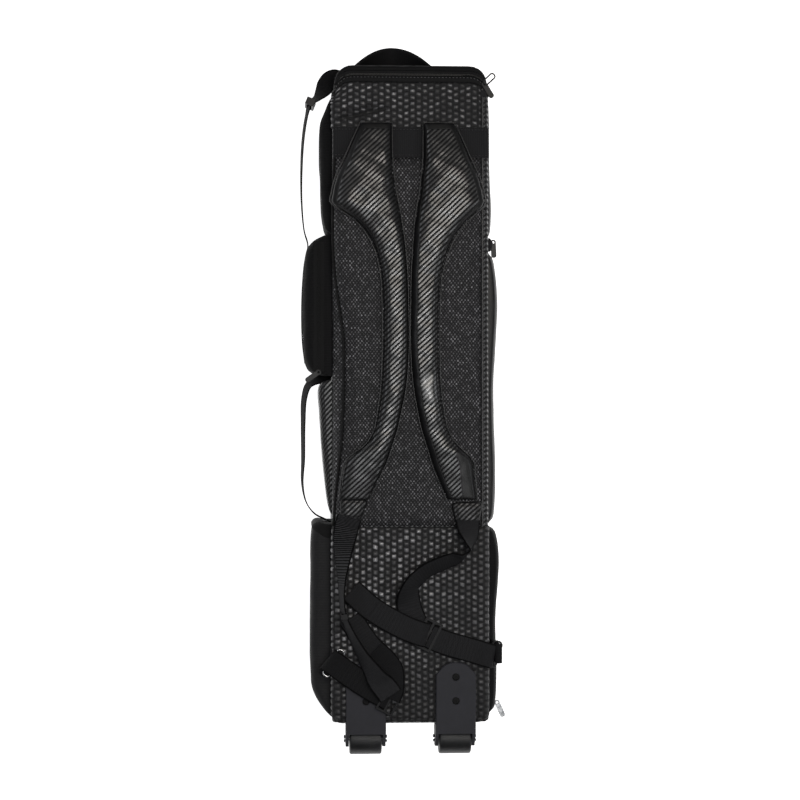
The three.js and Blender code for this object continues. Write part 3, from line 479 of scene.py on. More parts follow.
# %% [markdown]
# ## Hard finishes
# The wheel brackets and strap locks are moulded nylon with a fine spark grain. The wheels are a smooth
# rubber with a little dust. The axles, the left ring and the base pull are bright nickel with hairline
# scratches, and the other small metal is blackened. A plain colour would look like clay, so each has its
# own grain and rub.


# %% Hard finishes
def moulded(name, dark, light, roughness, grain_depth, shine=0.3):
    finish = Finish(name, dark, roughness, {"Specular IOR Level": shine})
    grain = finish.noise(1500.0, 2.0)
    rub = finish.noise(45.0, 4.0)
    finish.colours(rub.step(0.3, 0.8), dark, light)
    finish.feed("Roughness", roughness - 0.06 + rub * 0.14)
    finish.relief(grain, grain_depth)
    return finish.material


def nickel(name, dark, light):
    finish = Finish(name, dark, 0.2, {"Metallic": 1.0})
    hairline = finish.noise(260.0, 3.0)
    finish.colours(hairline.step(0.3, 0.7), dark, light)
    finish.feed("Roughness", 0.14 + hairline * 0.2)
    finish.relief(hairline, 0.00004)
    return finish.material


BRACKET = moulded("bracket_nylon", (0.014, 0.014, 0.0185), (0.02, 0.02, 0.0255), 0.6, 0.00012)
LOCK = moulded("lock_nylon", (0.006, 0.006, 0.0065), (0.011, 0.011, 0.0118), 0.5, 0.00008, 0.2)
RUBBER = moulded("wheel_rubber", (0.006, 0.006, 0.0064), (0.015, 0.015, 0.016), 0.44, 0.0003, 0.4)
ZIP = moulded("zip_coil", (0.006, 0.006, 0.006), (0.012, 0.012, 0.012), 0.45, 0.00003)
BLACK_SCREW = moulded("black_screw", (0.002, 0.002, 0.002), (0.005, 0.005, 0.005), 0.6, 0.00004, 0.15)
ZIP_TAPE = moulded("zip_tape", (0.003, 0.003, 0.0033), (0.006, 0.006, 0.0064), 0.85, 0.0001)
BLACK_NICKEL = moulded("black_nickel", (0.004, 0.004, 0.0042), (0.016, 0.016, 0.0165), 0.42, 0.00004, 0.25)
NICKEL = nickel("bright_nickel", (0.22, 0.22, 0.225), (0.5, 0.5, 0.5))
print("eight hard finishes")

# %% [markdown]
# ## Helpers for soft pieces
# Cloth is made from a grid primitive: one point for each entry of a table of points, so a row of the table
# is a line across the cloth. A tube is such a grid whose two edges meet and are merged. Tables are in
# millimetres. Faces could be listed one by one, but a grid keeps them in order and brings its map along.


# %% Selecting and editing
def take(piece):
    """Selects one piece alone and makes it the active one."""
    nothing_selected()
    piece.select_set(True)
    bpy.context.view_layer.objects.active = piece


def edit(piece, *steps):
    """Runs mesh operators, each with its settings, on the whole of one piece."""
    take(piece)
    bpy.ops.object.mode_set(mode="EDIT")
    bpy.ops.mesh.select_all(action="SELECT")
    for step, settings in steps:
        step(**settings)
    bpy.ops.object.mode_set(mode="OBJECT")


def apply(piece, kind, **settings):
    """Adds one modifier and applies it."""
    take(piece)
    modifier = piece.modifiers.new(kind.title(), kind)
    for name, value in settings.items():
        setattr(modifier, name, value)
    bpy.ops.object.modifier_apply(modifier=modifier.name)


def points_of(piece):
    flat = np.empty(len(piece.data.vertices) * 3)
    piece.data.vertices.foreach_get("co", flat)
    return flat.reshape(-1, 3)


def put_points(piece, points):
    piece.data.vertices.foreach_set("co", np.ascontiguousarray(points).ravel())
    piece.data.update()


def carry(piece, name, values):
    """Gives each point of a piece a number that its finish reads."""
    mark = piece.data.attributes.new(name, "FLOAT", "POINT")
    mark.data.foreach_set("value", values)


print("operators run on one piece at a time")


# %% Grids
def cloth_grid(name, lines):
    """A grid primitive with one point for each entry of lines, a table of points in mm."""
    lines = np.asarray(lines, float) * MM
    rows, columns = lines.shape[0] - 1, lines.shape[1] - 1
    nothing_selected()
    bpy.ops.mesh.primitive_grid_add(x_subdivisions=columns, y_subdivisions=rows, size=2)
    piece = bpy.context.object
    piece.name = name
    piece.data.name = name
    spots = points_of(piece)
    column = np.rint((spots[:, 0] + 1) / 2 * columns).astype(int)
    row = np.rint((spots[:, 1] + 1) / 2 * rows).astype(int)
    put_points(piece, lines[row, column])
    return piece


MERGE = (bpy.ops.mesh.remove_doubles, {"threshold": 1e-6})
FILL = (bpy.ops.mesh.fill_holes, {"sides": 0})
OUTWARDS = (bpy.ops.mesh.normals_make_consistent, {"inside": False})


def smooth(piece, angle=50):
    take(piece)
    bpy.ops.object.shade_smooth_by_angle(angle=math.radians(angle))


def done(piece, finish, replaces=(), body="case"):
    """Gives a piece its finish, hangs it on its body's empty and hides the frame's parts that it replaces."""
    piece.data.materials.clear()
    piece.data.materials.append(finish)
    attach(piece, body)
    if replaces:
        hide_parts(*replaces)
    return piece


def thickened(piece, thick, offset=-1, steps=(OUTWARDS,)):
    """Turns a sheet into cloth of its thickness in mm, inwards of the sheet or to both sides of it."""
    edit(piece, *steps)
    apply(piece, "SOLIDIFY", thickness=thick * MM, offset=offset)
    smooth(piece)
    return piece


print("sheets and tubes come from grids")


# %% Curves and cords
UP = (0, 0, 1)


def along_rows(rows):
    """Reads a table of rows (place, values...) as a smooth curve through them."""
    table = np.array(sorted(rows), float)
    places, values = table[:, 0], table[:, 1:]
    slopes = np.diff(values, axis=0) / np.diff(places)[:, None]
    tangents = np.vstack([slopes[:1], (slopes[1:] + slopes[:-1]) / 2, slopes[-1:]])

    def read(place):
        k = int(np.clip(np.searchsorted(places, place) - 1, 0, len(slopes) - 1))
        step = places[k + 1] - places[k]
        t = min(max((place - places[k]) / step, 0), 1)
        rise = (1 - t) ** 2 * (1 + 2 * t) * values[k] + t * t * (3 - 2 * t) * values[k + 1]
        lean = t * (1 - t) ** 2 * tangents[k] - t * t * (1 - t) * tangents[k + 1]
        return rise + lean * step

    return read


def spaced(path, spacing):
    """Points at even steps along a path, with the direction at each."""
    path = np.asarray(path, float)
    lengths = np.concatenate([[0], np.cumsum(np.linalg.norm(np.diff(path, axis=0), axis=1))])
    count = max(2, int(round(lengths[-1] / spacing)) + 1)
    places = np.linspace(0, lengths[-1], count)
    points = np.stack([np.interp(places, lengths, path[:, k]) for k in range(3)], axis=1)
    ways = np.gradient(points, axis=0)
    return points, ways / np.linalg.norm(ways, axis=1)[:, None]


def full_turn(steps):
    """Angles once round. The last one is the first again."""
    turns = np.linspace(0, 2 * math.pi, steps + 1)
    turns[-1] = 0
    return turns


def rod(name, path, radius, sides=8, loop=False):
    """A round cord along a path in mm. A loop's last point is its first one again."""
    path = np.asarray(path, float)
    ways = np.gradient(path, axis=0)
    if loop:
        ways[0] = ways[-1] = path[1] - path[-2]
    ways /= np.linalg.norm(ways, axis=1)[:, None]
    first = Vector(UP) if abs(ways[0][2]) < 0.9 else Vector((1, 0, 0))
    lines = []
    for spot, way in zip(path, ways):
        side = Vector(way).cross(first).normalized()
        first = side.cross(Vector(way)).normalized()
        lines.append([spot + radius * (math.cos(a) * np.array(side) + math.sin(a) * np.array(first))
                      for a in full_turn(sides)])
    if loop:
        lines[-1] = lines[0]
    piece = cloth_grid(name, lines)
    edit(piece, MERGE, FILL, OUTWARDS)
    smooth(piece, 60)
    return piece


print("cords follow smooth lines")


# %% Copies and stitches
def new_piece(name, mesh):
    """A new object of a mesh, in the scene."""
    piece = bpy.data.objects.new(name, mesh)
    bpy.context.scene.collection.objects.link(piece)
    return piece


def repeated(name, model, spots):
    """One small model copied to many spots, given as 4x4 matrices, in one mesh. The model is used up."""
    shape = points_of(model)
    faces = [tuple(face.vertices) for face in model.data.polygons]
    points, polygons = [], []
    for spot in spots:
        base = len(points) * len(shape)
        points.append(shape @ np.array(spot.to_3x3()).T + np.array(spot.translation))
        polygons += [tuple(base + k for k in face) for face in faces]
    mesh = bpy.data.meshes.new(name)
    mesh.from_pydata(np.concatenate(points).tolist(), [], polygons)
    bpy.data.objects.remove(model)
    piece = new_piece(name, mesh)
    smooth(piece, 70)
    return piece


def spot_on(point, way, up):
    """Matrix that lays a model's X along way with its Z near up, at a point in mm."""
    x = Vector(way).normalized()
    y = Vector(up).cross(x).normalized()
    z = x.cross(y)
    return Matrix.Translation(Vector(point) * MM) @ Matrix((x, y, z)).transposed().to_4x4()


def stitches(name, paths, spacing, length, width, finish=BLACK_THREAD):
    """Rows of single stitches along paths in mm: each a small stretched ball."""
    nothing_selected()
    bpy.ops.mesh.primitive_ico_sphere_add(subdivisions=1, radius=1)
    model = bpy.context.object
    put_points(model, points_of(model) * np.array((length / 2, width / 2, width / 2)) * MM)
    spots = []
    for path in paths:
        points, ways = spaced(path, spacing)
        spots += [spot_on(point, way, UP) for point, way in zip(points, ways)]
    return done(repeated(name, model, spots), finish)


def ripple(x, y, length, seed=0.0):
    """A gentle unevenness between -1 and 1, from a few waves that don't repeat together."""
    a, b = x / length * 2 * np.pi, y / length * 2 * np.pi
    waves = (
        np.sin(a * 0.83 + b * 0.47 + 1.7 + seed) + np.sin(b * 0.71 - a * 0.39 + 4.1 + seed * 1.7)
        + np.sin(a * 1.63 - b * 1.21 + 0.4 + seed * 2.3) * 0.6
        + np.sin(b * 1.87 + a * 0.91 + 2.9 + seed * 0.6) * 0.6
    )
    return waves / 3.2


print("stitches and unevenness can be added")

# %% [markdown]
# ## The padded body
# The body is a long tube of padded board with rounded corners, closed at the base and open under the lid.
# Its left rear edge is pressed in along the middle, so that corner's radius grows there, and the mesh of
# the back runs on round it. A tube rolled from a grid follows every section, and Solidify gives it the real
# wall.

# %% Measures and outlines
HALF = 102
DEPTH = 160
REAR_CORNER = 8
FRONT_CORNER = 14
PADDED_WALL = 6
MOUTH_Y = 416
BASE_Y = -429
BASE_ROUND = 12
END_RADIUS = 24
END_INSET = 2
END_LOW_Y = 378
END_HIGH_Y = 412
DENT_LOW, DENT_HIGH = -200, 260
DENT = along_rows([
    (DENT_HIGH, 0), (205, 2), (136, 9), (84, 14), (6, 14), (-92, 11), (-138, 6), (-171, 3), (DENT_LOW, 0),
])


def dent_at(y):
    return float(DENT(y)[0]) if DENT_LOW < y < DENT_HIGH else 0.0


def outline(corners, arc_steps=6, side_steps=26):
    """A closed line through quarter-circle corners (x, z, radius, start in degrees)."""
    points = []
    for k, (x, z, radius, start) in enumerate(corners):
        for turn in np.radians(np.linspace(start, start + 90, arc_steps + 1)):
            points.append((x + radius * math.cos(turn), z + radius * math.sin(turn)))
        next_x, next_z, next_radius, next_start = corners[(k + 1) % len(corners)]
        turn = math.radians(next_start)
        far = (next_x + next_radius * math.cos(turn), next_z + next_radius * math.sin(turn))
        near = points[-1]
        for step in range(1, side_steps):
            share = step / side_steps
            points.append((near[0] + (far[0] - near[0]) * share, near[1] + (far[1] - near[1]) * share))
    return np.array(points + points[:1])


print("closed outlines with round corners")


# %% Sections of the body
def end_drop(x, y):
    """How far the rounded corners of the lid end draw a point down the case."""
    over = np.clip(np.abs(x) - (HALF - END_INSET - END_RADIUS), 0, END_RADIUS * 0.98)
    share = np.clip((y - END_LOW_Y) / (END_HIGH_Y - END_LOW_Y), 0, 1)
    return share * (END_RADIUS - np.sqrt(END_RADIUS ** 2 - over ** 2))


def case_ring(y, inset=0.0, rear=DEPTH, front=0.0):
    """The body's section at y as points in mm."""
    half = HALF - inset
    dent = dent_at(y)
    bowed = REAR_CORNER + dent
    flat = outline([
        (half - FRONT_CORNER, front + FRONT_CORNER, FRONT_CORNER, -90),
        (half - REAR_CORNER, rear - REAR_CORNER, REAR_CORNER, 0),
        (bowed - half, rear - bowed, bowed, 90),
        (FRONT_CORNER - half, front + FRONT_CORNER, FRONT_CORNER, 180),
    ])
    return np.stack([flat[:, 0], y - end_drop(flat[:, 0], y), flat[:, 1]], axis=1)


def shrunk(ring, share, y):
    """A ring drawn in towards its middle, at y."""
    middle = (ring.min(0) + ring.max(0)) / 2
    middle[1] = y
    return middle + (ring - middle) * share


print("sections", 2 * HALF, "by", DEPTH, "mm")

# %% Body
MESH_LOW, MESH_HIGH = -171.0, 309.0
MESH_EDGE_X = -60
MESH_EDGE_DEPTH = 24
MESH_EDGE_LEAN = 0.15
body_lines = [case_ring(y) for y in np.linspace(MOUTH_Y, BASE_Y + BASE_ROUND, 110)]
for turn in np.radians((15, 30, 45, 60, 75, 90)):
    drawn = BASE_ROUND * (1 - math.cos(turn))
    body_lines.append(case_ring(BASE_Y + BASE_ROUND * (1 - math.sin(turn)), drawn, DEPTH - drawn, drawn))
body_lines += [shrunk(body_lines[-1], share, BASE_Y) for share in (0.7, 0.35, 0.0)]
body = cloth_grid("case_body", body_lines)
edit(body, MERGE, OUTWARDS)
apply(body, "SOLIDIFY", thickness=PADDED_WALL * MM, offset=-1, use_even_offset=True)
smooth(body, 40)
done(body, SIDE_VINYL, ["body_shell"])
body.data.materials.append(MESH)
for face in body.data.polygons:
    x, y, z = face.center / MM
    on_edge = x < MESH_EDGE_X and z > DEPTH - MESH_EDGE_DEPTH and face.normal.z > MESH_EDGE_LEAN
    if on_edge and MESH_LOW < y < MESH_HIGH:
        face.material_index = 1
print("body of", len(body.data.polygons), "faces")

# %% [markdown]
# ## Lid, zip and mouth band
# The lid closes the upper end. It is a stiffened panel with a piped edge, joined to the mouth by a coil
# zip. Below the zip a flat tape runs round the mouth, sewn with a grey thread that shows as a line of
# dashes. Each could be cut from a box, but all of them follow the body's own section, so they use its rings
# again.

# %% Lid
LID_LOW_Y = 420.6
LID_TOP_Y = 429
LID_REAR = 166.0
LID_CROWN = 0.8
LID_INSET = 2.2
LID_GATHER = 0.55
LID_RIM_LOW_Y = 405
LID_ROWS = (
    # y, inset from the body's section
    (LID_LOW_Y, 4.6), (421.4, 3.2), (423.5, LID_INSET), (425.8, LID_INSET), (427.6, 3.4), (428.7, 5.6),
    (LID_TOP_Y, 9))
lid_lines = []
for y, inset in LID_ROWS:
    drop = inset - LID_INSET
    lid_lines.append(case_ring(y, inset, LID_REAR - drop, drop + 0.4))
lid_rim = lid_lines[-1]
for share in (0.9, 0.75, 0.6, 0.45, 0.3, 0.15, 0.0):
    ring = shrunk(lid_rim, share, LID_TOP_Y)
    ring[:, 1] = LID_TOP_Y - end_drop(ring[:, 0], LID_TOP_Y) + LID_CROWN * (1 - share ** 2)
    lid_lines.append(ring)
lid_lines = [shrunk(lid_lines[0], 0.0, LID_LOW_Y)] + lid_lines
lid = cloth_grid("case_lid", lid_lines)
edit(lid, MERGE, OUTWARDS)
lid_points = points_of(lid) / MM
gather = ripple(lid_points[:, 0] * 1.6, lid_points[:, 2] * 1.6, 26, 2.0)
on_rim = (lid_points[:, 1] > LID_RIM_LOW_Y) & (lid_points[:, 1] < LID_TOP_Y - 0.5)
lid_points[:, 1] += LID_GATHER * gather * on_rim
put_points(lid, lid_points * MM)
smooth(lid, 45)
done(lid, NYLON, ["lid"])

piping_ring = case_ring(419.9, 3.4, LID_REAR - 0.6, 2.2)
done(rod("lid_piping", piping_ring, 1.6, loop=True), ZIP_TAPE)
print("lid at y", LID_LOW_Y, "to", LID_TOP_Y)

# %% Zip
COIL_INSET = 3.6
TOOTH = np.array((0.95, 3.4, 1.3))
TOOTH_SPACING = 1.7
RING_STEPS = (MERGE, OUTWARDS)
tape_lines = [case_ring(y, inset, DEPTH + rise, 0.6) for y, inset, rise in (
    (414.6, 5.0, 1.6), (415.2, 4.2, 2.4), (417, 4.0, 2.6), (419.2, 4.2, 2.8), (420.8, 5.4, 2.8))]
zip_tape = thickened(cloth_grid("lid_zip_tape", tape_lines), 1.2, steps=RING_STEPS)
done(zip_tape, NYLON, ["lid_zip"])


def zip_coil(name, path, ups, finish):
    """The teeth of a zip along a path in mm: one small bar across the path, copied along it."""
    nothing_selected()
    bpy.ops.mesh.primitive_cube_add(size=1)
    model = bpy.context.object
    put_points(model, points_of(model) * TOOTH * MM)
    points, ways = spaced(path, TOOTH_SPACING)
    places = np.linspace(0, 1, len(points))
    knots = np.linspace(0, 1, len(ups))
    ups = np.stack([np.interp(places, knots, np.asarray(ups, float)[:, k]) for k in range(3)], axis=1)
    spots = [spot_on(*row) for row in zip(points, ways, ups)]
    return done(repeated(name, model, spots), finish)


coil_path = case_ring(417.4, COIL_INSET, DEPTH + 3.2, 1.0)
coil_x, coil_z = coil_path[:, 0], coil_path[:, 2] - DEPTH / 2
on_side = np.abs(coil_x) > HALF - COIL_INSET - REAR_CORNER
coil_ups = np.stack([np.where(on_side, np.sign(coil_x), 0.0), np.zeros(len(coil_x)),
                     np.where(on_side, 0.0, np.sign(coil_z))], axis=1)
lid_coil = zip_coil("lid_zip_coil", coil_path, coil_ups, ZIP)
print("zip of", len(lid_coil.data.polygons), "small faces")

# %% Mouth band
band_lines = [case_ring(y, -proud, DEPTH + 2.2 + proud, 0.4) for y, proud in (
    (415.2, 0.2), (414.6, 1.0), (411, 1.2), (408.2, 1.1), (407.6, 0.2))]
mouth_band = thickened(cloth_grid("mouth_band", band_lines), 1.0, steps=RING_STEPS)
done(mouth_band, ZIP_TAPE)
band_seam = case_ring(413.4, -1.2, DEPTH + 3.5, 0.6)
stitches("mouth_band_stitches", [band_seam], 4.6, 2.9, 0.8, GREY_THREAD)
print("mouth band of", len(mouth_band.data.polygons), "faces")

# %% [markdown]
# ## Basket cloth panels
# The upper and lower back are a thick basket cloth. Its cells are eight millimetres wide, so they are true
# relief: a fine grid is raised into columns of small pillows, each column half a cell from the next. Some
# cells are tilted a little, which gives part of the lively sparkle of the real cloth; the rest is a painted
# highlight on each cell in the finish. The sides roll down over the case's edge. A bump alone would leave the
# outline flat where the cloth turns away.

# %% Basket relief
BASKET_GROUND = 0.5
BASKET_RISE = 2.0


def scattered(column, row, first, second, third):
    """A number between 0 and 1 for each cell, with no pattern."""
    return np.modf(np.abs(np.sin(column * first + row * second) * third))[0]


def basket_height(across, along):
    """Height of the basket cloth in mm over its ground. Cells arch along and across by turns."""
    wide, long = CELL_WIDE / MM, CELL_LONG / MM
    column = np.floor(across / wide)
    u = across / wide - column - 0.5
    shift = (column * 0.5) % 1
    row = np.floor(along / long + shift)
    v = along / long + shift - row - 0.5
    turned = (column + row) % 2
    arch = np.where(turned > 0.5, 2.2, 5.0)
    wide_arch = np.clip(1 - (2.05 * np.abs(u)) ** arch, 0, 1)
    cell = wide_arch * np.clip(1 - (2.05 * np.abs(v)) ** (7.2 - arch), 0, 1)
    lot = scattered(column, row, 12.9898, 78.233, 43758.5453)
    tilt = scattered(column, row, 39.346, 11.135, 24634.6345)
    return cell * (BASKET_RISE * (0.75 + 0.3 * lot) + (tilt - 0.5) * 1.7 * v + (lot - 0.5) * 1.5 * u)


def on_back(across, along, lift):
    """Points at a distance across from the middle line, following the rear edges and the base's edge."""
    dents = np.vectorize(dent_at)(along)
    radius = REAR_CORNER + np.where(across < 0, dents, 0)
    base_turn = np.clip((BASE_Y + BASE_ROUND - along) / BASE_ROUND, 0, math.pi / 2)
    drawn = BASE_ROUND * (1 - np.cos(base_turn))
    flat = HALF - radius
    over = np.maximum(np.abs(across) - flat, 0)
    turn = np.minimum(over / radius, math.pi / 2)
    down = np.maximum(over - radius * math.pi / 2, 0)
    inwards = drawn * np.clip(np.abs(across) / flat, 0, 1)
    x = np.sign(across) * (np.minimum(np.abs(across), flat) + (radius + lift) * np.sin(turn) - inwards)
    y = np.maximum(along, BASE_Y + BASE_ROUND) - (BASE_ROUND + lift) * np.sin(base_turn)
    z = DEPTH - radius + (radius + lift * np.cos(base_turn)) * np.cos(turn) - down - drawn
    return np.stack([x, y - end_drop(x, y), z], axis=-1)


print("cells", CELL_WIDE, "by", CELL_LONG, "m")

# %% Basket panels
GRID_STEP = 1.1
WRAP_HALF = 107.0
FLAT_HALF = 93.0
CREASE_HALF = 2.3
CREASE_LIP = 3.0
CREASE_DEPTH = 3.4


def set_map(piece, width, length):
    """Makes a grid's map measure metres across and along it."""
    layer = piece.data.uv_layers.active
    flat = np.empty(len(layer.data) * 2)
    layer.data.foreach_get("uv", flat)
    layer.data.foreach_set("uv", (flat.reshape(-1, 2) * (width * MM, length * MM)).ravel())


def basket_panel(name, left, right, low_y, high_y, node, finish, crease=None):
    ys = np.linspace(low_y, high_y, int((high_y - low_y) / GRID_STEP))
    xs = np.linspace(left, right, int((right - left) / GRID_STEP))
    along, across = np.meshgrid(ys, xs, indexing="ij")
    edge = np.minimum.reduce([across - left, right - across, along - low_y, high_y - along])
    lift = BASKET_GROUND + basket_height(across - left, along - low_y) * np.clip(edge / 2.5, 0, 1)
    lift += 0.4 + 0.4 * ripple(across, along, 90)
    fold = np.zeros_like(lift)
    if crease is not None:
        (ax, ay), (bx, by) = crease
        length = math.hypot(bx - ax, by - ay)
        share = ((across - ax) * (bx - ax) + (along - ay) * (by - ay)) / length ** 2
        off = ((across - ax) * (by - ay) - (along - ay) * (bx - ax)) / length
        depth = np.clip(np.minimum(share, 1 - share) * 9, 0, 1)
        fold = depth * np.exp(-(off / CREASE_HALF) ** 4)
        lift += CREASE_LIP * depth * np.exp(-((off + 5) / 3.5) ** 2) - CREASE_DEPTH * fold
    lift = np.where(edge < 1e-6, -0.4, np.maximum(lift, 0.3))
    panel = cloth_grid(name, on_back(across, along, lift))
    set_map(panel, right - left, high_y - low_y)
    # The crease mark carries the painted shade in the crease and along the panel's edges.
    carry(panel, "crease", np.maximum(fold, 1 - np.clip(edge / 4, 0, 1)).ravel())
    edit(panel, OUTWARDS)
    smooth(panel, 80)
    return done(panel, finish, [node])


lower_panel = basket_panel("basket_panel_lower", -WRAP_HALF, WRAP_HALF, -428, -171.3, "lower_woven_panel",
                           BASKET)
upper_panel = basket_panel("basket_panel_upper", -WRAP_HALF, FLAT_HALF, 346.4, 408, "upper_woven_panel",
                           FLAT_BASKET, ((-99, 357), (-28, 374)))
print("basket panels of", len(lower_panel.data.polygons), "and", len(upper_panel.data.polygons), "faces")

# %% [markdown]
# ## Padded mesh and piping
# Behind the wearer's back lies a soft pad faced with spacer mesh, sewn in along piped seams. It is a
# crowned sheet, full in the middle and drawn down to its seams, and a little uneven, as foam is. The piping
# is a cord in a folded strip of vinyl, with a row of stitches beside it. A subdivided box would round off
# the seams too, and a sheet keeps them where they are sewn.

# %% Mesh back
MESH_RIGHT = 92.0
LEFT_SEAM = along_rows([
    # y, distance of the left seam from the middle, over the rounded edge
    (309, 99), (250, 101.5), (201, 102), (159, 99.5), (116, 93.5), (72, 87.8), (29, 87), (-14, 88.2),
    (-57, 90), (-100, 94.5), (-135, 98.5), (-171, 101)])
mesh_ys = np.linspace(MESH_LOW, MESH_HIGH, 210)
mesh_shares = np.linspace(-1, 1, 85)
y, share = np.meshgrid(mesh_ys, mesh_shares, indexing="ij")
mesh_left = np.array([float(LEFT_SEAM(v)[0]) for v in mesh_ys])[:, None] - 1.2
x = np.where(share < 0, share * mesh_left, share * MESH_RIGHT)
edge = np.minimum.reduce([(1 - np.abs(share)) * MESH_RIGHT, y - MESH_LOW, MESH_HIGH - y])
full = 1 - np.clip(1 - edge / 16, 0, 1) ** 2.2
lift = 1.4 + 4.4 * full + ripple(x, y, 120, 1.0) * 0.55 * full + ripple(x, y, 34, 2.0) * 0.22 * full
border = np.zeros_like(lift, bool)
border[[0, -1]] = True
border[:, [0, -1]] = True
mesh_back = cloth_grid("mesh_back", on_back(x, y, np.where(border, 0.3, lift)))
edit(mesh_back, FILL, OUTWARDS)
smooth(mesh_back, 80)
done(mesh_back, MESH, ["back_mesh_panel"])
print("mesh back", round(2 * MESH_RIGHT), "by", round(MESH_HIGH - MESH_LOW), "mm")

# %% Piping
PIPING = (
    # side, word, radius, upper end, finish
    (-1, "left", 1.6, MESH_HIGH, ZIP_TAPE),
    (1, "right", 1.3, 404, SMOOTH_VINYL),
)


def seam_line(side, out, lift, low, high):
    """A line beside the left or right seam of the back, at a distance out from it."""
    ys = np.linspace(low, high, 130)
    if side < 0:
        across = np.array([-float(LEFT_SEAM(y)[0]) - out for y in ys])
    else:
        across = np.full(len(ys), MESH_RIGHT + 1.4 + out)
    return on_back(across, ys, lift)


for side, word, radius, high, finish in PIPING:
    line = seam_line(side, 0, 1.4, MESH_LOW, high)
    done(rod("piping_cord_" + word, line, radius), finish, ["piping_" + word])
stitches("piping_stitches_left", [seam_line(-1, 3.2, 0.4, -168, 306)], 4.6, 2.8, 0.7,
         BLACK_THREAD)
stitches("piping_stitches_right", [seam_line(1, 2.4, 0.3, -168, 392)], 4.6, 2.9, 0.8,
         GREY_THREAD)
print(len(PIPING), "piped seams with their stitches")

# %% [markdown]
# ## Shoulder pads
# Each pad is a foam core in a vinyl cover: wide at the shoulder, narrow along the chest and flared again at
# its foot. Cloth with inside pressure gives the full, slightly uneven look of a stuffed cover, so the cover
# is rolled from its outline a little thin, remeshed evenly and blown up. Most of that movement is taken
# back, to a little over a millimetre, so that the pad keeps its cut. The seam between the ribbed face and
# the smooth binding follows the outline, and each point then gets its distance from it.

# %% Pad sections
PAD_X = -4.5
PAD_Z = 166.6
PAD_EDGE = 7.6
PAD_CROWN = 0.045
PAD_LOW = -137.0
PAD_HIGH = 354.0
PAD_ROWS = {
    # y, inner, outer, height
    -1: along_rows([
        (354, 20, 61.5, 0.45), (331, 20, 72, 0.75), (306, 19.5, 83, 1), (282, 17, 94, 1), (262, 14.5, 99, 1),
        (249, 11.5, 100, 1), (240, 9.8, 88, 1), (230, 8, 73, 1), (216, 6, 58.5, 1), (202, 3.9, 49.5, 1),
        (182, 1.8, 41, 1), (156, 0, 35.5, 1), (124, -1, 33.5, 1), (58, -1.6, 33.3, 1), (13, 1.5, 35, 1),
        (-21, 8, 39.5, 1), (-46, 13.5, 44.5, 1), (-65, 19.5, 56, 1), (-76, 23, 71, 1), (-84, 25.5, 80, 0.9),
        (-107, 36, 86, 0.75), (-137, 50, 89.5, 0.5)]),
    1: along_rows([
        (354, 20, 61.5, 0.45), (331, 20, 72, 0.75), (306, 19.5, 83, 1), (282, 17, 94, 1), (262, 15, 99.5, 1),
        (249, 12.5, 101, 1), (240, 11, 93, 1), (230, 9.5, 82, 1), (216, 8, 70, 1), (202, 7, 60.5, 1),
        (182, 5.8, 52.5, 1), (156, 4.6, 45, 1), (124, 4, 42.5, 1), (58, 4, 41.8, 1), (13, 7, 43.3, 1),
        (-21, 12.8, 47.5, 1), (-46, 18, 53, 1), (-65, 24, 65, 1), (-76, 27.5, 77, 1), (-84, 29.5, 84.5, 0.9),
        (-107, 38, 88, 0.75), (-137, 51, 91, 0.5)]),
}


def pad_ring(y, side):
    """A pad's section at y: crowned top, round edges and a flat underside."""
    inner, outer, height = PAD_ROWS[side](y)
    inner, outer = inner + 0.4, outer - 1.2
    ring = []
    for t in (1 - np.cos(np.linspace(0, math.pi, 23))) / 2:
        off = abs(2 * t - 1)
        rise = PAD_EDGE * math.sqrt(1 - off ** 7) + PAD_CROWN * (outer - inner) * (1 - off ** 2.6)
        ring.append((PAD_X + side * (inner + (outer - inner) * t), y, PAD_Z + rise * height))
    for t in np.linspace(1, 0, 8)[1:]:
        ring.append((PAD_X + side * (inner + (outer - inner) * t), y, PAD_Z))
    return ring


print("pads", PAD_HIGH - PAD_LOW, "mm long")

# %% Filling and seams
CLOTH_FRAMES = 20
PAD_GIVE = np.array((0.08, 0.08, 0.35))


def blow_up(piece, pressure, reach):
    """Fills a closed cover like a cushion, moving no point further than reach in metres."""
    take(piece)
    rest = points_of(piece)
    cloth = piece.modifiers.new("Cloth", "CLOTH")
    cloth.settings.use_pressure = True
    cloth.settings.uniform_pressure_force = pressure
    cloth.settings.effector_weights.gravity = 0
    cloth.collision_settings.use_collision = False
    for step in range(1, CLOTH_FRAMES + 1):
        bpy.context.scene.frame_set(step)
    bpy.ops.object.modifier_apply(modifier=cloth.name)
    bpy.context.scene.frame_set(1)
    moved = (points_of(piece) - rest) * PAD_GIVE
    far = np.linalg.norm(moved, axis=1, keepdims=True)
    put_points(piece, rest + moved * np.minimum(1, reach / np.maximum(far, 1e-9)))


def seam_share(points, side):
    """Distance of each point from the pad's edge, as a share of the binding's width there."""
    shares = []
    for x, y in points[:, :2] / MM:
        inner, outer = PAD_ROWS[side](min(max(y, PAD_LOW), PAD_HIGH))[:2]
        across = side * (x - PAD_X)
        broad = 2.5 + 7 * min(max((y - 170) / 45, 0), 1)
        bound = 3.5
        if side > 0:
            broad += 18 * min(max((-68 - y) / 12, 0), 1)
            bound = 9.0 - 4.0 * min(max((y - 190) / 60, 0), 1)
        ends = min((PAD_HIGH - y) / 9, (y - PAD_LOW) * 0.6)
        shares.append(min((outer - across) / broad, (across - inner) / bound, ends))
    return shares


print("covers can be filled")

# %% Two pads
PAD_VOXEL = 4.2
PAD_PRESSURE = 4.0
PAD_REACH = 1.2
PAD_PIPING = 0.8
PAD_PIPING_OUT = 0.1
PAD_PIPING_LIFT = 4.0


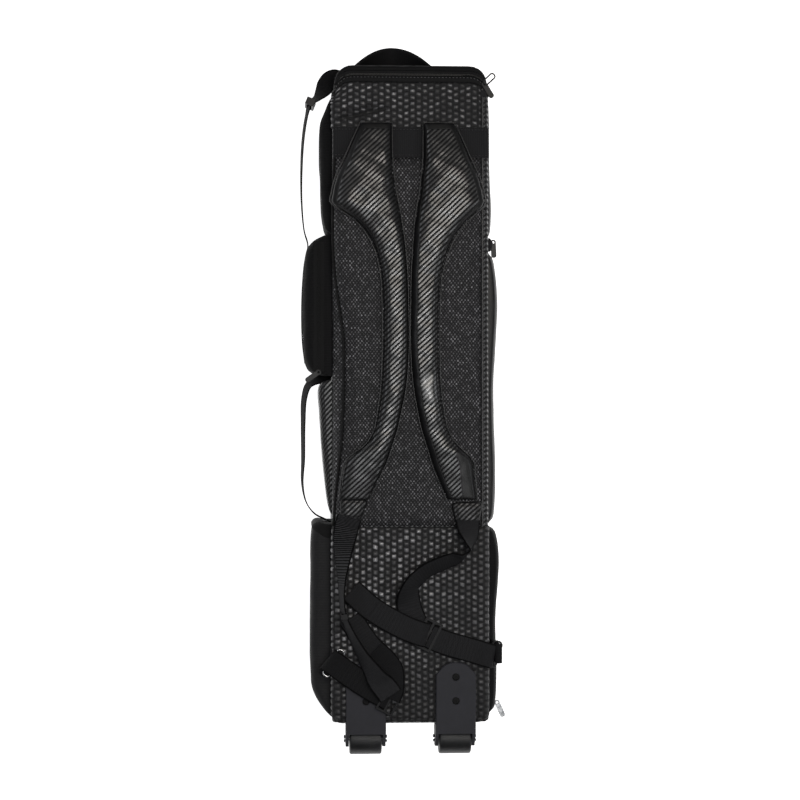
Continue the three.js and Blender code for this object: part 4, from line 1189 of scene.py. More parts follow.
def shoulder_pad(word, side):
    ys = np.linspace(PAD_HIGH, PAD_LOW, 110)
    pad = cloth_grid("pad_cover_" + word, [pad_ring(y, side) for y in ys])
    edit(pad, MERGE, FILL, OUTWARDS)
    pad.data.remesh_voxel_size = PAD_VOXEL * MM
    bpy.ops.object.voxel_remesh()
    blow_up(pad, PAD_PRESSURE, PAD_REACH * MM)
    apply(pad, "SUBSURF", levels=1, render_levels=1)
    points = points_of(pad)
    x, y, z = (points / MM).T
    top = np.clip((z - PAD_Z - 5) / 6, 0, 1)
    points[:, 2] += top * (ripple(x, y, 52, 3.0 + side) * 1.1 + ripple(x, y, 23, 5.0 + side) * 0.35) * MM
    arm = np.clip((195 - y) / 25, 0, 1)
    points[:, 2] += top * arm * ripple(x * 0.4, y, 29, 8.0 + side) * 0.5 * MM
    points[:, 2] = np.maximum(points[:, 2], PAD_Z * MM)
    put_points(pad, points)
    carry(pad, "seam", seam_share(points, side))
    smooth(pad, 80)
    done(pad, PAD_VINYL, ["shoulder_pad_" + word])
    return pad


def pad_outline(side):
    """A line in mm up a pad's outer edge and down its inner one, a little outside them."""
    outer_line, inner_line = [], []
    for y in np.linspace(PAD_LOW, PAD_HIGH, 120):
        inner, outer, height = PAD_ROWS[side](y)
        z = PAD_PIPING_LIFT * height + PAD_Z
        outer_line.append((PAD_X + side * (outer + PAD_PIPING_OUT), y, z))
        inner_line.append((PAD_X + side * (inner - PAD_PIPING_OUT), y, z))
    return outer_line + inner_line[::-1]


for side, word in ((-1, "left"), (1, "right")):
    pad = shoulder_pad(word, side)
    done(rod("pad_piping_" + word, pad_outline(side), PAD_PIPING), SMOOTH_VINYL)
    highest = round(points_of(pad)[:, 2].max() / MM, 1)
    print("pad", word, "has", len(pad.data.vertices), "points, highest", highest, "mm")

# %% [markdown]
# ## Pad tabs and yoke
# A broad webbing band, the yoke, crosses the back under the pads' upper ends. Each pad's foot ends in a
# vinyl tab that holds the webbing. Both are flat pieces with rows of stitches. A tab is a square grid whose
# corners are drawn round, which keeps its faces even right up to the rim.

# %% Yoke band
YOKE_LOW, YOKE_HIGH = 309.3, 348.6
YOKE_HALF = 100.0
yoke_xs = np.linspace(-YOKE_HALF, YOKE_HALF, 130)
yoke_ys = np.linspace(YOKE_LOW, YOKE_HIGH, 10)
yoke_x, yoke_y = np.meshgrid(yoke_xs, yoke_ys, indexing="ij")
yoke_lift = 1.8 + 0.5 * ripple(yoke_x, yoke_y, 70, 4.0)
yoke = cloth_grid("yoke_webbing", on_back(yoke_x, yoke_y, yoke_lift))
set_map(yoke, YOKE_HIGH - YOKE_LOW, 2 * YOKE_HALF)
thickened(yoke, 2, offset=0)
done(yoke, WEBBING, ["yoke_band"])
yoke_rows = [on_back(yoke_xs, np.full(len(yoke_xs), y), 3.0 + 0.5 * ripple(yoke_xs, y, 70, 4.0))
             for y in (YOKE_LOW + 3, YOKE_HIGH - 3)]
stitches("yoke_stitches", yoke_rows, 4.4, 2.8, 0.8)
print("yoke", round(YOKE_HIGH - YOKE_LOW, 1), "mm wide")

# %% Pad feet
CORNER_POWER = 6.0
SEWN_SHARE = 0.74
FOOT_THICK = 4.0
FOOT_STITCH_Z = 170.2


def squared(u, v):
    """Moves a point of a square so that the square's corners are round."""
    most = max(abs(u), abs(v))
    if most == 0:
        return u, v
    share = most / (abs(u) ** CORNER_POWER + abs(v) ** CORNER_POWER) ** (1 / CORNER_POWER)
    return u * share, v * share


def soft_patch(name, corners, low_z, thick):
    """A small cushioned patch between four corners, lower left first and round to upper left."""
    corners = np.array(corners, float)
    steps = np.linspace(-1, 1, 25)
    lines, rims = [], []
    for v in steps:
        line = []
        for u in steps:
            a, b = squared(u, v)
            shares = [(1 - a) * (1 - b), (1 + a) * (1 - b), (1 + a) * (1 + b), (1 - a) * (1 + b)]
            x, y = np.array(shares) / 4 @ corners
            rim = max(abs(u), abs(v))
            sewn = 0.5 * math.exp(-((rim - SEWN_SHARE) / 0.07) ** 2)
            z = low_z if rim > 0.99 else low_z + thick * (1 - 0.6 * rim ** 6) - sewn
            line.append((x, y, z + 0.35 * float(ripple(x, y, 14, 1.0)) * (rim < 0.8)))
            rims.append(3.0 * (1 - rim) / 0.25)
        lines.append(line)
    patch = cloth_grid(name, lines)
    carry(patch, "seam", np.clip(rims, 0, 3))
    edit(patch, FILL, OUTWARDS)
    smooth(patch, 50)
    return patch


PAD_FEET = {
    "left": [(-91.5, -160.0), (-66.0, -163.5), (-55.0, -135.5), (-92.5, -135.0)],
    "right": [(58.0, -168.0), (88.0, -170.0), (94.0, -138.5), (51.5, -139.5)],
}
for word, corners in PAD_FEET.items():
    tab = soft_patch("pad_foot_" + word, corners, PAD_Z, FOOT_THICK)
    done(tab, TAB_VINYL, ["pad_tab_" + word])
    middle = np.mean(corners, axis=0)
    loop = [tuple(middle + (np.array(c) - middle) * SEWN_SHARE) + (FOOT_STITCH_Z,) for c in corners]
    sides = [[loop[k], loop[(k + 1) % 4]] for k in range(4)]
    stitches("pad_foot_stitches_" + word, sides, 3.6, 2.4, 0.7, BLACK_THREAD)
print(len(PAD_FEET), "pad feet")

# %% [markdown]
# ## Webbing
# The straps are 32 mm webbing, which lies flat, rolls onto its edge and folds over itself. A strip is a
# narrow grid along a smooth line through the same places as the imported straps, turned about that line by
# the same roll, with its own map for the weave. Solidify makes it as thick as the tape. A curve with a flat
# profile would be shorter to write, but its roll is hard to hold where the strap turns over.

# %% Strips of webbing
WEBBING_WIDE = 32.0
SIDE_WEBBING = 25.0
SIDE_THICK = 1.3
WEBBING_THICK = 1.8
STRAP_Z = 163.6


def through(rows, samples):
    """A smooth line through rows of numbers, spaced by the distance between their points."""
    rows = np.asarray(rows, float)
    table = np.vstack([2 * rows[0] - rows[1], rows, 2 * rows[-1] - rows[-2]])
    line = []
    for place in np.linspace(0, len(rows) - 1, samples + 1):
        k = min(int(place), len(rows) - 2)
        t = place - k
        p0, p1, p2, p3 = (table[k + n] for n in range(4))
        d0, d1, d2 = (max(np.linalg.norm(b - a), 1e-6) ** 0.5 for a, b in ((p0, p1), (p1, p2), (p2, p3)))
        t1 = ((p1 - p0) / d0 - (p2 - p0) / (d0 + d1) + (p2 - p1) / d1) * d1
        t2 = ((p2 - p1) / d1 - (p3 - p1) / (d1 + d2) + (p3 - p2) / d2) * d1
        line.append(p1 + t1 * t + (3 * (p2 - p1) - 2 * t1 - t2) * t * t + (2 * (p1 - p2) + t1 + t2) * t ** 3)
    return np.array(line)


def strip_frames(rows, samples):
    """Centres, sides and faces along a strip whose rows are x, y, z and roll in degrees."""
    rows = np.asarray(rows, float)
    centres = through(rows[:, :3], samples)
    rolls = np.interp(np.linspace(0, len(rows) - 1, samples + 1), np.arange(len(rows)), rows[:, 3])
    ways = np.gradient(centres, axis=0)
    sides, faces = [], []
    for way, roll in zip(ways, rolls):
        way = Vector(way).normalized()
        side = way.cross(Vector(UP)).normalized()
        side.rotate(Matrix.Rotation(math.radians(roll), 3, way))
        sides.append(side)
        faces.append(side.cross(way))
    return centres, np.array(sides), np.array(faces)


print("strips follow a line and a roll")

# %% Tape
WEBBING_STEP = 3.0
WEBBING_CUP = 0.35


def tape_of(strip, thick, rounding):
    """Turns a strip into tape of its thickness with rounded edges, both in mm."""
    edit(strip, OUTWARDS)
    apply(strip, "SOLIDIFY", thickness=thick * MM, offset=0)
    apply(strip, "BEVEL", width=rounding * MM, segments=2, limit_method="ANGLE", angle_limit=math.radians(50))
    smooth(strip, 60)
    return strip


def webbing(name, rows, width=WEBBING_WIDE, thick=WEBBING_THICK, lift=0.0):
    """A strip of webbing along rows, slightly cupped across its width."""
    rows = np.asarray(rows, float)
    length = np.linalg.norm(np.diff(rows[:, :3], axis=0), axis=1).sum()
    centres, sides, faces = strip_frames(rows, max(8, int(length / WEBBING_STEP)))
    across = np.linspace(-1, 1, 9)
    lines = [[c + s * width / 2 * a + f * (lift + WEBBING_CUP * (0.5 - a * a)) for a in across]
             for c, s, f in zip(centres, sides, faces)]
    piece = cloth_grid(name, lines)
    set_map(piece, width, length)
    # The edge mark places the painted shade along the tape's edges.
    carry(piece, "edge", np.tile(np.abs(across), len(lines)))
    return tape_of(piece, thick, 0.45)


def laid(rows):
    """Rows x, y, lift and roll of a strip that lies on the back, as x, y, z and roll."""
    result = []
    for x, y, lift, roll in rows:
        turn = math.radians(roll)
        reach = abs(math.sin(turn)) * WEBBING_WIDE / 2 + abs(math.cos(turn)) * WEBBING_THICK / 2
        result.append((x, y, STRAP_Z + lift + reach, roll))
    return result


print("webbing", WEBBING_WIDE, "and", SIDE_WEBBING, "mm wide")

# %% Straps on the back
BACK_STRAPS = {
    "strap_webbing_left": [
        (-80, -158, 4.6, 0), (-83.5, -170, 3.6, 4), (-86.5, -187, 1.4, 25), (-88.5, -206, 0.6, 48),
        (-90, -234, 0.4, 72), (-90.5, -258, 1.4, 79), (-87.5, -284, 2.2, 80), (-77, -311, 3, 72),
        (-63, -337, 7, 62), (-48, -360, 13, 40), (-38, -374, 13.2, 8), (-31, -383, 13.2, 0),
        (-27, -389, 12.4, 0)],
    "strap_tail_left": [
        (-30, -393, 9.4, 0), (-26, -383, 10.6, 0), (-25, -370, 10.6, 0), (-26.5, -356, 8.8, 0),
        (-36, -343, 6.2, 0), (-46, -334, 3.8, 0), (-56, -324, 1.2, 0), (-79, -290, 0.2, 0)],
    "strap_anchor_left": [
        (-107.4, -343.2, -6, 0), (-106.4, -344, -0.5, 0), (-102.5, -346.6, 3.4, 0), (-95.6, -351.2, 4.4, 0),
        (-86, -358, 7, 0), (-64, -373, 7, 0), (-48, -383, 7, 0), (-36, -389.4, 7, 0), (-28, -393.6, 7.6, 0)],
    "strap_webbing_right": [
        (73.5, -163, 4.6, -6), (74, -174, 3.4, -24), (76, -190, 0.8, -60), (76, -201, 0.4, -86),
        (69, -207.5, 0.4, -80), (56, -212, 0.4, -55), (38, -219, 0.4, -50), (16, -230, 0.4, -50),
        (-2, -250, 0.6, -46), (-3, -272, 0.8, -2), (10, -303, 0.3, 0), (20, -311, 2.0, 0)],
    "strap_tail_right": [
        (21, -312, 6.8, 0), (14, -310.3, 7.6, 0), (-9, -301.5, 6.6, 0), (-50, -278, 2.8, 0),
        (-78, -253.5, 2.6, 0)],
    "strap_anchor_right": [
        (24, -313.4, 4.4, 0), (34.8, -318.5, 3.4, 0), (46, -323, 1, 0), (70, -330, 0.3, 0),
        (86, -334.6, 0.6, 0), (95, -337.2, 3.0, 0), (101, -338.9, 4.2, 0),
        (105.6, -340.2, 3.6, 0), (108, -340.9, 0.8, 0), (108.8, -341.1, -3.4, 0)],
}
STRAP_FINISHES = {
    "strap_webbing_left": RIBBED_WEBBING, "strap_tail_left": PAINTED_SHADE_WEBBING, "strap_anchor_left": PAINTED_SHADE_WEBBING,
}
for node, rows in BACK_STRAPS.items():
    strap = webbing(node + "_tape", laid(rows))
    done(strap, STRAP_FINISHES.get(node, WEBBING), [node])

TAIL_FOLD = 0.24
TAIL_SAMPLES = 60
for word in ("left", "right"):
    rows = laid(BACK_STRAPS["strap_tail_" + word])
    line = through(np.array(rows), TAIL_SAMPLES)
    folded_end = line[int(TAIL_SAMPLES * (1 - TAIL_FOLD)):][::3]
    fold = webbing("tail_fold_" + word, folded_end, lift=WEBBING_THICK + 0.1)
    done(fold, WEBBING)
print(len(BACK_STRAPS), "strips of webbing on the back")

# %% [markdown]
# ## Side straps and top handle
# Two slack straps run along the left side: a long one that leaves the lid flat and turns on edge before its
# slider, and a carrying loop. Both are strips like those of the back. The top handle is a doubled webbing
# arch with stiffened edges. It is thick, so it is a closed tube with a flattened section rather than a
# strip.

# %% Side straps
SIDE_STRAPS = {
    # x, y, z and roll
    "side_strap_upper": [
        (-92, 419, 96, 0), (-98, 421.6, 96, 1), (-104, 419.5, 96, 6),
        (-109.2, 413.4, 96, 16), (-113.1, 406.2, 96, 32), (-120.5, 396.5, 96, 62), (-130.3, 387.9, 96, 74),
        (-134.9, 373.7, 96, 81), (-140.1, 340.1, 96, 83), (-142.5, 286.4, 96, 86), (-141.5, 247, 96, 88),
        (-138.4, 217.7, 96, 90), (-133.6, 199, 96, 90), (-136.4, 185, 96, 90), (-139, 168, 96, 90),
        (-141.6, 123, 96, 90), (-140.8, 71, 96, 90), (-137.4, 42, 96, 90)],
    "side_handle": [
        (-102.3, 22.5, 96, 48), (-112, 22.5, 96, 50), (-122, 21, 96, 58), (-133, 13, 96, 70),
        (-138.5, -4, 96, 74), (-140, -40, 96, 78), (-140, -85, 96, 80), (-141, -118, 96, 85),
        (-136, -142, 96, 88), (-125, -157.5, 96, 90), (-112, -164.6, 96, 90), (-103, -168.4, 96, 90)],
}
for node, rows in SIDE_STRAPS.items():
    strap = webbing(node + "_tape", rows, SIDE_WEBBING, SIDE_THICK)
    done(strap, PAINTED_SHADE_WEBBING, [node])
print(len(SIDE_STRAPS), "side straps")

# %% Top handle
HANDLE_X, HANDLE_Z = -20.5, 84.0
HANDLE_HALF_SPAN, HANDLE_RISE = 56.0, 18.3
HANDLE_WIDE, HANDLE_THICK, HANDLE_FLATNESS = 40.0, 5.0, 1.75
HANDLE_FOOT_Y = 431.0
HANDLE_LENGTH = 130
handle_lines = []
for place in np.linspace(1, -1, 49):
    drop = abs(place) ** HANDLE_FLATNESS
    slope = HANDLE_FLATNESS * math.copysign(abs(place) ** (HANDLE_FLATNESS - 1), place)
    rise = HANDLE_RISE * (1 - drop)
    lean = math.asin(rise / (HANDLE_WIDE / 2))
    out = Vector((slope * HANDLE_RISE, HANDLE_HALF_SPAN, 0))
    across = Vector((0, math.sin(lean), math.cos(lean)))
    out = (out - across * out.dot(across)).normalized()
    centre = Vector((HANDLE_X + HANDLE_HALF_SPAN * place, HANDLE_FOOT_Y + rise, HANDLE_Z - rise * lean))
    ring = []
    for angle in np.linspace(0, 2 * math.pi, 29):
        a, b = math.cos(angle), math.sin(angle)
        wide = math.copysign(abs(a) ** 0.35, a) * HANDLE_WIDE / 2
        edge_rib = 0.5 * math.exp(-((abs(wide) - HANDLE_WIDE / 2 + 2) / 1.4) ** 2)
        thick = math.copysign(abs(b) ** 0.55, b) * (HANDLE_THICK / 2 - 0.5 + edge_rib)
        ring.append(tuple(centre + across * wide + out * thick))
    ring[-1] = ring[0]
    handle_lines.append(ring)
handle = cloth_grid("top_handle_loop", handle_lines)
set_map(handle, 2 * HANDLE_WIDE, HANDLE_LENGTH)
edit(handle, MERGE, FILL, OUTWARDS)
smooth(handle, 60)
done(handle, PAINTED_SHADE_WEBBING, ["top_handle"])
print("handle", 2 * HANDLE_HALF_SPAN, "mm long")

# %% [markdown]
# ## Pockets and side panels
# On the left are a slim upper pocket, a full zipped pocket, a ribbed vinyl strip and an open lower pocket,
# and on the right three slim panels. Each is a cover that stands off the side by a changing amount, with
# round edges. It is a grid of sections along the case, whose two ends fold in to the side, and Solidify
# makes it a cloth of its real thickness, hollow towards the case. A bevelled box would be quicker, but it
# would stand off by the same amount everywhere. The open pocket has a taped hem, and the full one a zip and
# a piped edge.

# %% Covers
SIDE_FACE = HALF + 0.3
END_ROUND = 9.0


def side_cover(name, side, rows, low_z, high_z, corner, wall, slack=0.0, lean_top=0.0, tall=0.0, count=70):
    """A soft cover on the left (-1) or right (1) side from rows of y and how far it stands off."""
    read = along_rows(rows)
    first, last = max(r[0] for r in rows), min(r[0] for r in rows)
    lines = []
    for y in np.linspace(first, last, count):
        near = min(first - y, y - last)
        end = math.sqrt(1 - max(0.0, 1 - near / END_ROUND) ** 2)
        proud = max(0.4, float(read(y)[0]) * (0.35 + 0.65 * end))
        radius = min(corner, proud * (0.98 if tall else 0.8))
        high = tall or radius
        line = [(SIDE_FACE, low_z)]
        for middle_z, start in ((low_z + high, -90), (high_z - high, 0)):
            turns = np.radians(np.linspace(start, start + 90, 10))
            inner_x = SIDE_FACE + proud - radius
            line += [(inner_x + radius * math.cos(t), middle_z + high * math.sin(t)) for t in turns]
            if start == -90:
                near_z, far_z = low_z + high, high_z - high
                line += [(SIDE_FACE + proud, near_z + (far_z - near_z) * s / 14) for s in range(1, 14)]
        line += [(SIDE_FACE, high_z)]
        line = np.array(line)
        clear = np.clip((line[:, 0] - SIDE_FACE) / 6, 0, 1)
        bulge = slack * ripple(y, line[:, 1], 55, 6.0 + side) * clear * end
        sway = lean_top * np.clip((y - (first - 20)) / 20, 0, 1) * (line[:, 0] - SIDE_FACE)
        lines.append(np.stack([side * (line[:, 0] + bulge), y + sway, line[:, 1]], axis=1))

    def folded(line):
        flat = line.copy()
        flat[:, 0] = side * SIDE_FACE
        return flat

    piece = cloth_grid(name, [folded(lines[0])] + lines + [folded(lines[-1])])
    edit(piece, MERGE)
    outside = sum(face.normal.x * face.area for face in piece.data.polygons)
    if outside * side < 0:
        edit(piece, (bpy.ops.mesh.flip_normals, {}))
    apply(piece, "SOLIDIFY", thickness=wall * MM, offset=-1)
    smooth(piece, 55)
    return piece


print("covers stand on x", SIDE_FACE, "mm")

# %% Left side
LEFT_PIECES = (
    # piece, node, rows of y and stand-off, low z, high z, corner, finish, slot, slack, lean of the upper end
    ("upper_pocket", "upper_side_pocket",
     [(390, 2.5), (374, 9), (359, 15), (350, 15.8), (300, 15), (235, 12), (214, 8)],
     26, 136, 10, NYLON, "smooth_cloth", 0.8, 0.0),
    ("zip_pocket", "mid_pocket",
     [(212, 9), (205, 21), (194, 31), (172, 35.5), (123, 38), (71, 37), (36, 32), (25, 24)],
     26, 138, 14, NYLON, "smooth_cloth", 0.9, 0.0),
    ("ribbed_strip", "side_panel_left",
     [(20, 14), (8, 17), (-20, 16), (-80, 12), (-120, 8), (-156, 3)],
     20, 134, 8, SIDE_VINYL, "carbon_vinyl", 0.4, 0.0),
    ("open_pocket", "lower_pocket",
     [(-172, 24), (-190, 27), (-230, 27.4), (-370, 27.4), (-384, 26), (-402, 18), (-421, 4)],
     24, 140, 12, OPEN_NYLON, "smooth_cloth", 0.5, 0.45),
)
for name, node, rows, low_z, high_z, corner, finish, slot, slack, lean in LEFT_PIECES:
    cover = side_cover(name, -1, rows, low_z, high_z, corner, 2.5, slack, lean)
    done(cover, finish, [node])
print(len(LEFT_PIECES), "pieces on the left")

# %% Right side
RIGHT_PIECES = (
    # piece, node, finish, rows of y and stand-off
    ("slim_panel_upper", "upper_side_panel_right", GLOSS_VINYL,
     [(387, 1.5), (380, 2.5), (300, 4), (215, 5), (208, 3)]),
    ("slim_panel_middle", "mid_side_panel_right", GLOSS_VINYL,
     [(187, 6), (180, 9.0), (0, 9.8), (-160, 9.8), (-168, 8)]),
    ("slim_panel_lower", "lower_side_panel_right", NYLON,
     [(-173, 8), (-180, 12), (-300, 12.4), (-404, 12.4), (-413, 10.5), (-419, 6)]),
)
for name, node, finish, rows in RIGHT_PIECES:
    cover = side_cover(name, 1, rows, 24, 144, 8, 2.0, 0.3, 0.0, 30.0)
    done(cover, finish, [node])
print(len(RIGHT_PIECES), "panels on the right")

# %% Hem and pocket zip
POCKET_ZIP_X, POCKET_ZIP_Z = -119.5, 138.4
HEM_ROWS = [(-172.6, 25.4), (-178, 26.4), (-188, 28.0)]
hem = side_cover("pocket_hem", -1, HEM_ROWS, 23, 141, 12.6, 1.2, lean_top=0.45, count=14)
done(hem, ZIP_TAPE)
pocket_rows = along_rows(LEFT_PIECES[1][2])
edge_line = [(-SIDE_FACE - float(pocket_rows(y)[0]) + 0.6, y, 125.0) for y in np.linspace(196, 34, 60)]
done(rod("zip_pocket_piping", edge_line, 1.2), GLOSS_VINYL)
zip_line = [(POCKET_ZIP_X, y, POCKET_ZIP_Z + 0.9) for y in np.linspace(200, 32, 60)]
tape_lines = [[(POCKET_ZIP_X + a, y, POCKET_ZIP_Z + 0.5 - 0.02 * a * a) for a in np.linspace(-7, 7, 9)]
              for y in np.linspace(201, 31, 40)]
pocket_tape = thickened(cloth_grid("pocket_zip_tape", tape_lines), 0.8)
done(pocket_tape, ZIP_TAPE)
zip_coil("pocket_zip_coil", zip_line, [UP, UP], ZIP_TAPE)
print("pocket zip of", len(zip_line), "points")

# %% [markdown]
# ## Buckles and small metal
# The strap locks, the keeper, the slider and the pulls have the right form in the frame, but with razor
# edges. A merged copy gets its flat faces joined and its edges rounded by a bevel, which is how a mould
# would leave them. The rings are bent from round wire, so they are cords rolled along a closed line.


# %% Softened hardware
def merged_copy(name, node, moved=(0, 0, 0), size=1.0):
    """A copy of a CAD node with its flat faces joined, moved by some mm and resized about its middle."""
    nothing_selected()
    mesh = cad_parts[node].data.copy()
    mesh.name = name
    piece = new_piece(name, mesh)
    spots = points_of(piece)
    middle = (spots.min(0) + spots.max(0)) / 2
    put_points(piece, middle + (spots - middle) * size + np.array(moved) * MM)
    edit(piece, (bpy.ops.mesh.remove_doubles, {"threshold": 2e-5}),
         (bpy.ops.mesh.dissolve_limited, {"angle_limit": math.radians(3)}), OUTWARDS)
    return piece


def softened(piece, width, segments=2):
    """Rounds all the sharp edges of a piece by width in mm."""
    apply(piece, "BEVEL", width=width * MM, segments=segments, limit_method="ANGLE",
          angle_limit=math.radians(28))
    smooth(piece, 40)
    apply(piece, "WEIGHTED_NORMAL", keep_sharp=True, weight=100)
    return piece


HARDWARE = (
    # piece, node, bevel in mm, finish, slot, move in mm, size
    ("lock_left", "ladder_lock_left", 0.7, LOCK, "bracket_plastic", (0, 0, 0), 1.0),
    ("lock_right", "ladder_lock_right", 0.7, LOCK, "bracket_plastic", (0, 0, 0), 1.0),
    ("keeper_left", "strap_keeper_left", 0.5, LOCK, "bracket_plastic", (0, 0, 0), 1.0),
    ("strap_slider", "side_strap_slider", 0.5, BLACK_NICKEL, "nickel", (1.2, 12.7, 0), 1.4),
    ("pull_lid", "lid_puller", 0.25, BLACK_NICKEL, "nickel", (0, 0, 0), 1.0),
    ("pull_side", "side_puller_right", 0.25, BLACK_NICKEL, "nickel", (-2, 5, 0), 1.0),
    ("pull_base", "base_puller", 0.25, NICKEL, "nickel", (3.5, -8, 0), 1.0),
    ("pull_pocket", "mid_pocket_puller", 0.25, BLACK_NICKEL, "nickel", (-5, -6, 0), 1.0),
)
for name, node, width, finish, slot, moved, size in HARDWARE:
    done(softened(merged_copy(name, node, moved, size), width), finish, [node])
print(len(HARDWARE), "softened pieces")


# %% Rings
def height_of(node):
    """Height of the middle of a CAD node in mm."""
    low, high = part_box(node)
    return (low.z + high.z) / 2 / MM


def wire_ring(name, node, length, width, wire, turn, place, finish):
    """A rounded wire loop lying flat, turned by turn in radians."""
    bend = width * 0.4
    far, near = length / 2 - bend, width * 0.1
    corners = [(far, -near, bend, -90), (far, near, bend, 0),
               (-far, near, bend, 90), (-far, -near, bend, 180)]
    flat = outline(corners, 6, 6)
    x, y, z = place
    cosine, sine = math.cos(turn), math.sin(turn)
    path = [(x + u * cosine - v * sine, y + u * sine + v * cosine, z) for u, v in flat]
    return done(rod(name, path, wire / 2, 12, loop=True), finish, [node])


left_place = (-100.2, -347.9, height_of("anchor_ring_left"))
right_place = (109, -337.5, height_of("anchor_ring_right"))
wire_ring("ring_left", "anchor_ring_left", 39, 10, 2.2, 0.97, left_place, NICKEL)
wire_ring("ring_right", "anchor_ring_right", 34, 12, 2.6, 1.265, right_place, BLACK_NICKEL)
wire_ring("ring_lid", "lid_ring", 17, 7, 2, 0.75, (102, 411.5, 166.5), BLACK_NICKEL)
for node in ("axle_left", "axle_right"):
    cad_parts[node].data.materials.clear()
    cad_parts[node].data.materials.append(NICKEL)
print("rings at heights", round(left_place[2], 1), "and", round(right_place[2], 1), "mm")

# %% [markdown]
# ## Small webbing tabs
# Short ends of tape hold the rings and give a grip beside the zips. Three of them are plain in the frame,
# so softened copies are enough. The right ring's tab is a loop that goes round the wire, so it is drawn as
# a strip.

# %% Small webbing tabs
SMALL_TABS = {
    # node: move in mm, size
    "anchor_tab_left": ((0, 0, 0), 1.0),
    "corner_tab_right": ((10, 0, -1.5), 0.6),
    "side_tab_right": ((0, 0, 0), 1.0),
}
for node, (moved, size) in SMALL_TABS.items():
    tab = softened(merged_copy(node + "_tape", node, moved, size), 0.5)
    done(tab, WEBBING, [node])

RING_TAB = (
    # x and z of a tape that goes up from the side, round the right ring's outer bar and back
    (105.4, 146), (107, 151.5), (111, 157), (116, 160.6), (118.2, 164.5), (117.2, 168.6), (113.8, 170),
    (110.8, 168), (109.8, 163.8), (108.4, 158.4), (106.2, 153))
TAB_Y, TAB_HALF, TAB_SLOPE = -335.0, 13.5, -0.3
TAB_LENGTH = 60
tab_lines = []
for x, z in through(RING_TAB, 40):
    half = TAB_HALF - 1.6 * np.clip((x - 113) / 5, 0, 1)
    middle_y = TAB_Y + TAB_SLOPE * (x - 110)
    tab_lines.append([(x, middle_y + half * a, z - 0.8 * abs(a) ** 4) for a in np.linspace(-1, 1, 9)])
ring_tab = cloth_grid("anchor_tab_right_tape", tab_lines)
set_map(ring_tab, 2 * TAB_HALF, TAB_LENGTH)
tape_of(ring_tab, 1.6, 0.5)
done(ring_tab, PAINTED_SHADE_WEBBING, ["anchor_tab_right"])
print(len(SMALL_TABS), "small tabs and the right ring's tab")

# %% [markdown]
# ## Wheel brackets and wheels
# Each wheel turns in a moulded bracket that is screwed to the back. The bracket is the frame's own form
# with a rounded upper end, softened edges and two recesses for its screws. A wheel could be a bevelled
# cylinder, but its shoulders are drawn, so its profile is rolled round its axle.

# %% Corners, turned shapes and screws
SCREW_YS = (-367, -398)
WHEEL_X, WHEEL_Y, WHEEL_Z = 58.5, -450.5, 140.0
PLATE_TOP = 167.6
RECESS = 2.2
PLATE_CORNERS = (
    # distance from the plate's middle line, y, rounding in mm
    (12, -348, 8), (26, -363, 3.5))
SCREW_RADIUS, SCREW_DEPTH = 4.6, 2.4
SLOT_TURN = 0.5
SLOT_SIZE = (4.6 * MM, 0.9 * MM, 1.6 * MM)
WHEEL_STEPS = 56
WHEEL_HALF = [
    # radius, place along the axle
    (3.3, -21), (17.6, -21), (18.5, -20.8), (19.3, -20.3), (19.8, -19.5), (20, -18.6), (20, -9), (20, -0.5)]
WHEEL_PROFILE = WHEEL_HALF + [(radius, -along) for radius, along in WHEEL_HALF[::-1]] + WHEEL_HALF[:1]


def rounded_corner(piece, x, y, rounding):
    """Rounds an upright corner at x and y, with the small chamfers above and below it."""
    near = np.linalg.norm(points_of(piece)[:, :2] / MM - (x, y), axis=1) < 2
    ends = np.empty(len(piece.data.edges) * 2, int)
    piece.data.edges.foreach_get("vertices", ends)
    edit(piece, (bpy.ops.mesh.select_all, {"action": "DESELECT"}))
    piece.data.edges.foreach_set("select", near[ends.reshape(-1, 2)].all(axis=1))
    bpy.ops.object.mode_set(mode="EDIT")
    bpy.ops.mesh.bevel(offset=rounding * MM, segments=6, affect="EDGES", clamp_overlap=False)
    bpy.ops.object.mode_set(mode="OBJECT")


def turned_piece(name, profile, middle):
    """A shape turned about an axle along X: profile gives radius and place along the axle in mm."""
    x, y, z = middle
    lines = []
    for radius, along in profile:
        turns = full_turn(WHEEL_STEPS)
        lines.append([(x + along, y + radius * math.cos(t), z + radius * math.sin(t)) for t in turns])
    piece = cloth_grid(name, lines)
    edit(piece, MERGE, OUTWARDS)
    smooth(piece, 35)
    return piece


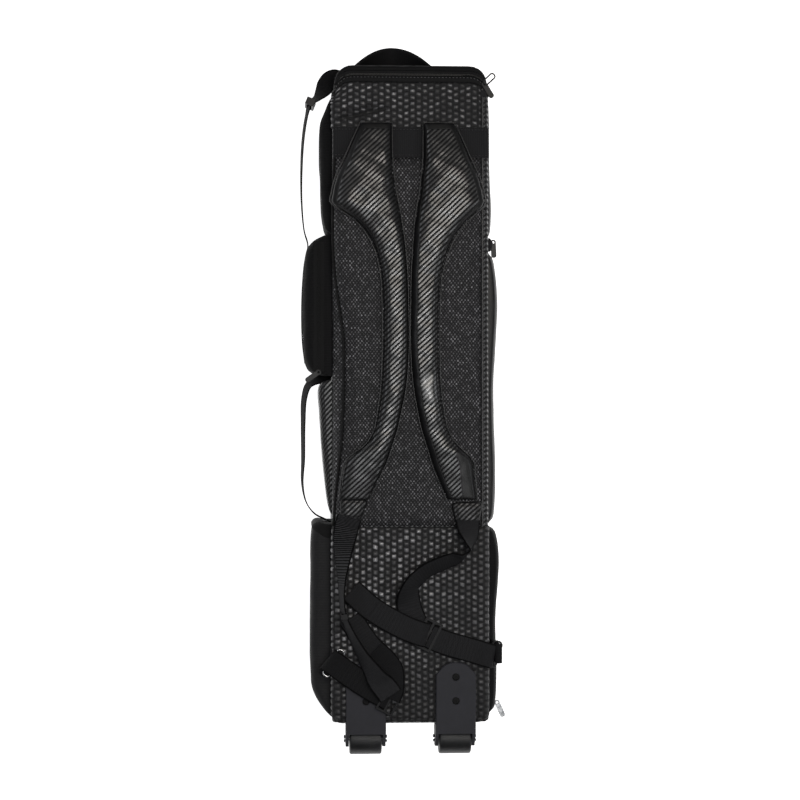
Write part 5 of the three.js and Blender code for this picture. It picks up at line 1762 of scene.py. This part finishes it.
def screw_head(name, x, y, node):
    """A countersunk head with a cross slot, sunk in the bracket's recess."""
    nothing_selected()
    bpy.ops.mesh.primitive_cylinder_add(vertices=32, radius=SCREW_RADIUS * MM, depth=SCREW_DEPTH * MM,
                                        location=(x * MM, y * MM, (PLATE_TOP - RECESS) * MM))
    head = bpy.context.object
    head.name = name
    bpy.ops.object.transform_apply(location=True, rotation=True, scale=True)
    apply(head, "BEVEL", width=0.6 * MM, segments=3, limit_method="ANGLE", angle_limit=math.radians(40))
    for turn in (SLOT_TURN, SLOT_TURN + math.pi / 2):
        nothing_selected()
        bpy.ops.mesh.primitive_cube_add(size=1, location=(x * MM, y * MM, (PLATE_TOP - 1.0) * MM),
                                        rotation=(0, 0, turn))
        blade = bpy.context.object
        blade.scale = SLOT_SIZE
        bpy.ops.object.transform_apply(location=True, rotation=True, scale=True)
        apply(head, "BOOLEAN", operation="DIFFERENCE", object=blade, solver="EXACT")
        bpy.data.objects.remove(blade)
    smooth(head, 30)
    return done(head, BLACK_SCREW, [node])


print("wheel profile of", len(WHEEL_PROFILE), "points")

# %% Two brackets with their wheels
CUTTER_LOW, CUTTER_HIGH = 4.7, 5.2
for side, word in ((-1, "left"), (1, "right")):
    bracket = merged_copy("bracket_" + word, "wheel_bracket_" + word)
    for out, y, rounding in PLATE_CORNERS:
        for way in (-1, 1):
            rounded_corner(bracket, side * WHEEL_X + way * out, y, rounding)
    softened(bracket, 0.9, 3)
    for y in SCREW_YS:
        nothing_selected()
        bpy.ops.mesh.primitive_cone_add(vertices=40, radius1=CUTTER_LOW * MM, radius2=CUTTER_HIGH * MM,
                                        depth=2 * RECESS * MM,
                                        location=(side * WHEEL_X * MM, y * MM, PLATE_TOP * MM))
        cutter = bpy.context.object
        apply(bracket, "BOOLEAN", operation="DIFFERENCE", object=cutter, solver="EXACT")
        bpy.data.objects.remove(cutter)
    smooth(bracket, 35)
    apply(bracket, "WEIGHTED_NORMAL", keep_sharp=True, weight=100)
    done(bracket, BRACKET, ["wheel_bracket_" + word])
    for k, (place, y) in enumerate(zip(("upper", "lower"), SCREW_YS), 1):
        screw_head("screw_%s_%s" % (place, word), side * WHEEL_X, y, "bracket_screw_%s_%d" % (word, k))
    wheel = turned_piece("wheel_tread_" + word, WHEEL_PROFILE, (side * WHEEL_X, WHEEL_Y, WHEEL_Z))
    done(wheel, RUBBER, ["wheel_" + word], "wheel_" + word)
print("two brackets and wheels of radius", WHEEL_HALF[-1][0], "mm")

# %% [markdown]
# ## Final update
# The view layer is brought up to date once more. The dressed case may pass the frame's box by a few
# millimetres and no more.

# %% Final update
bpy.context.view_layer.update()
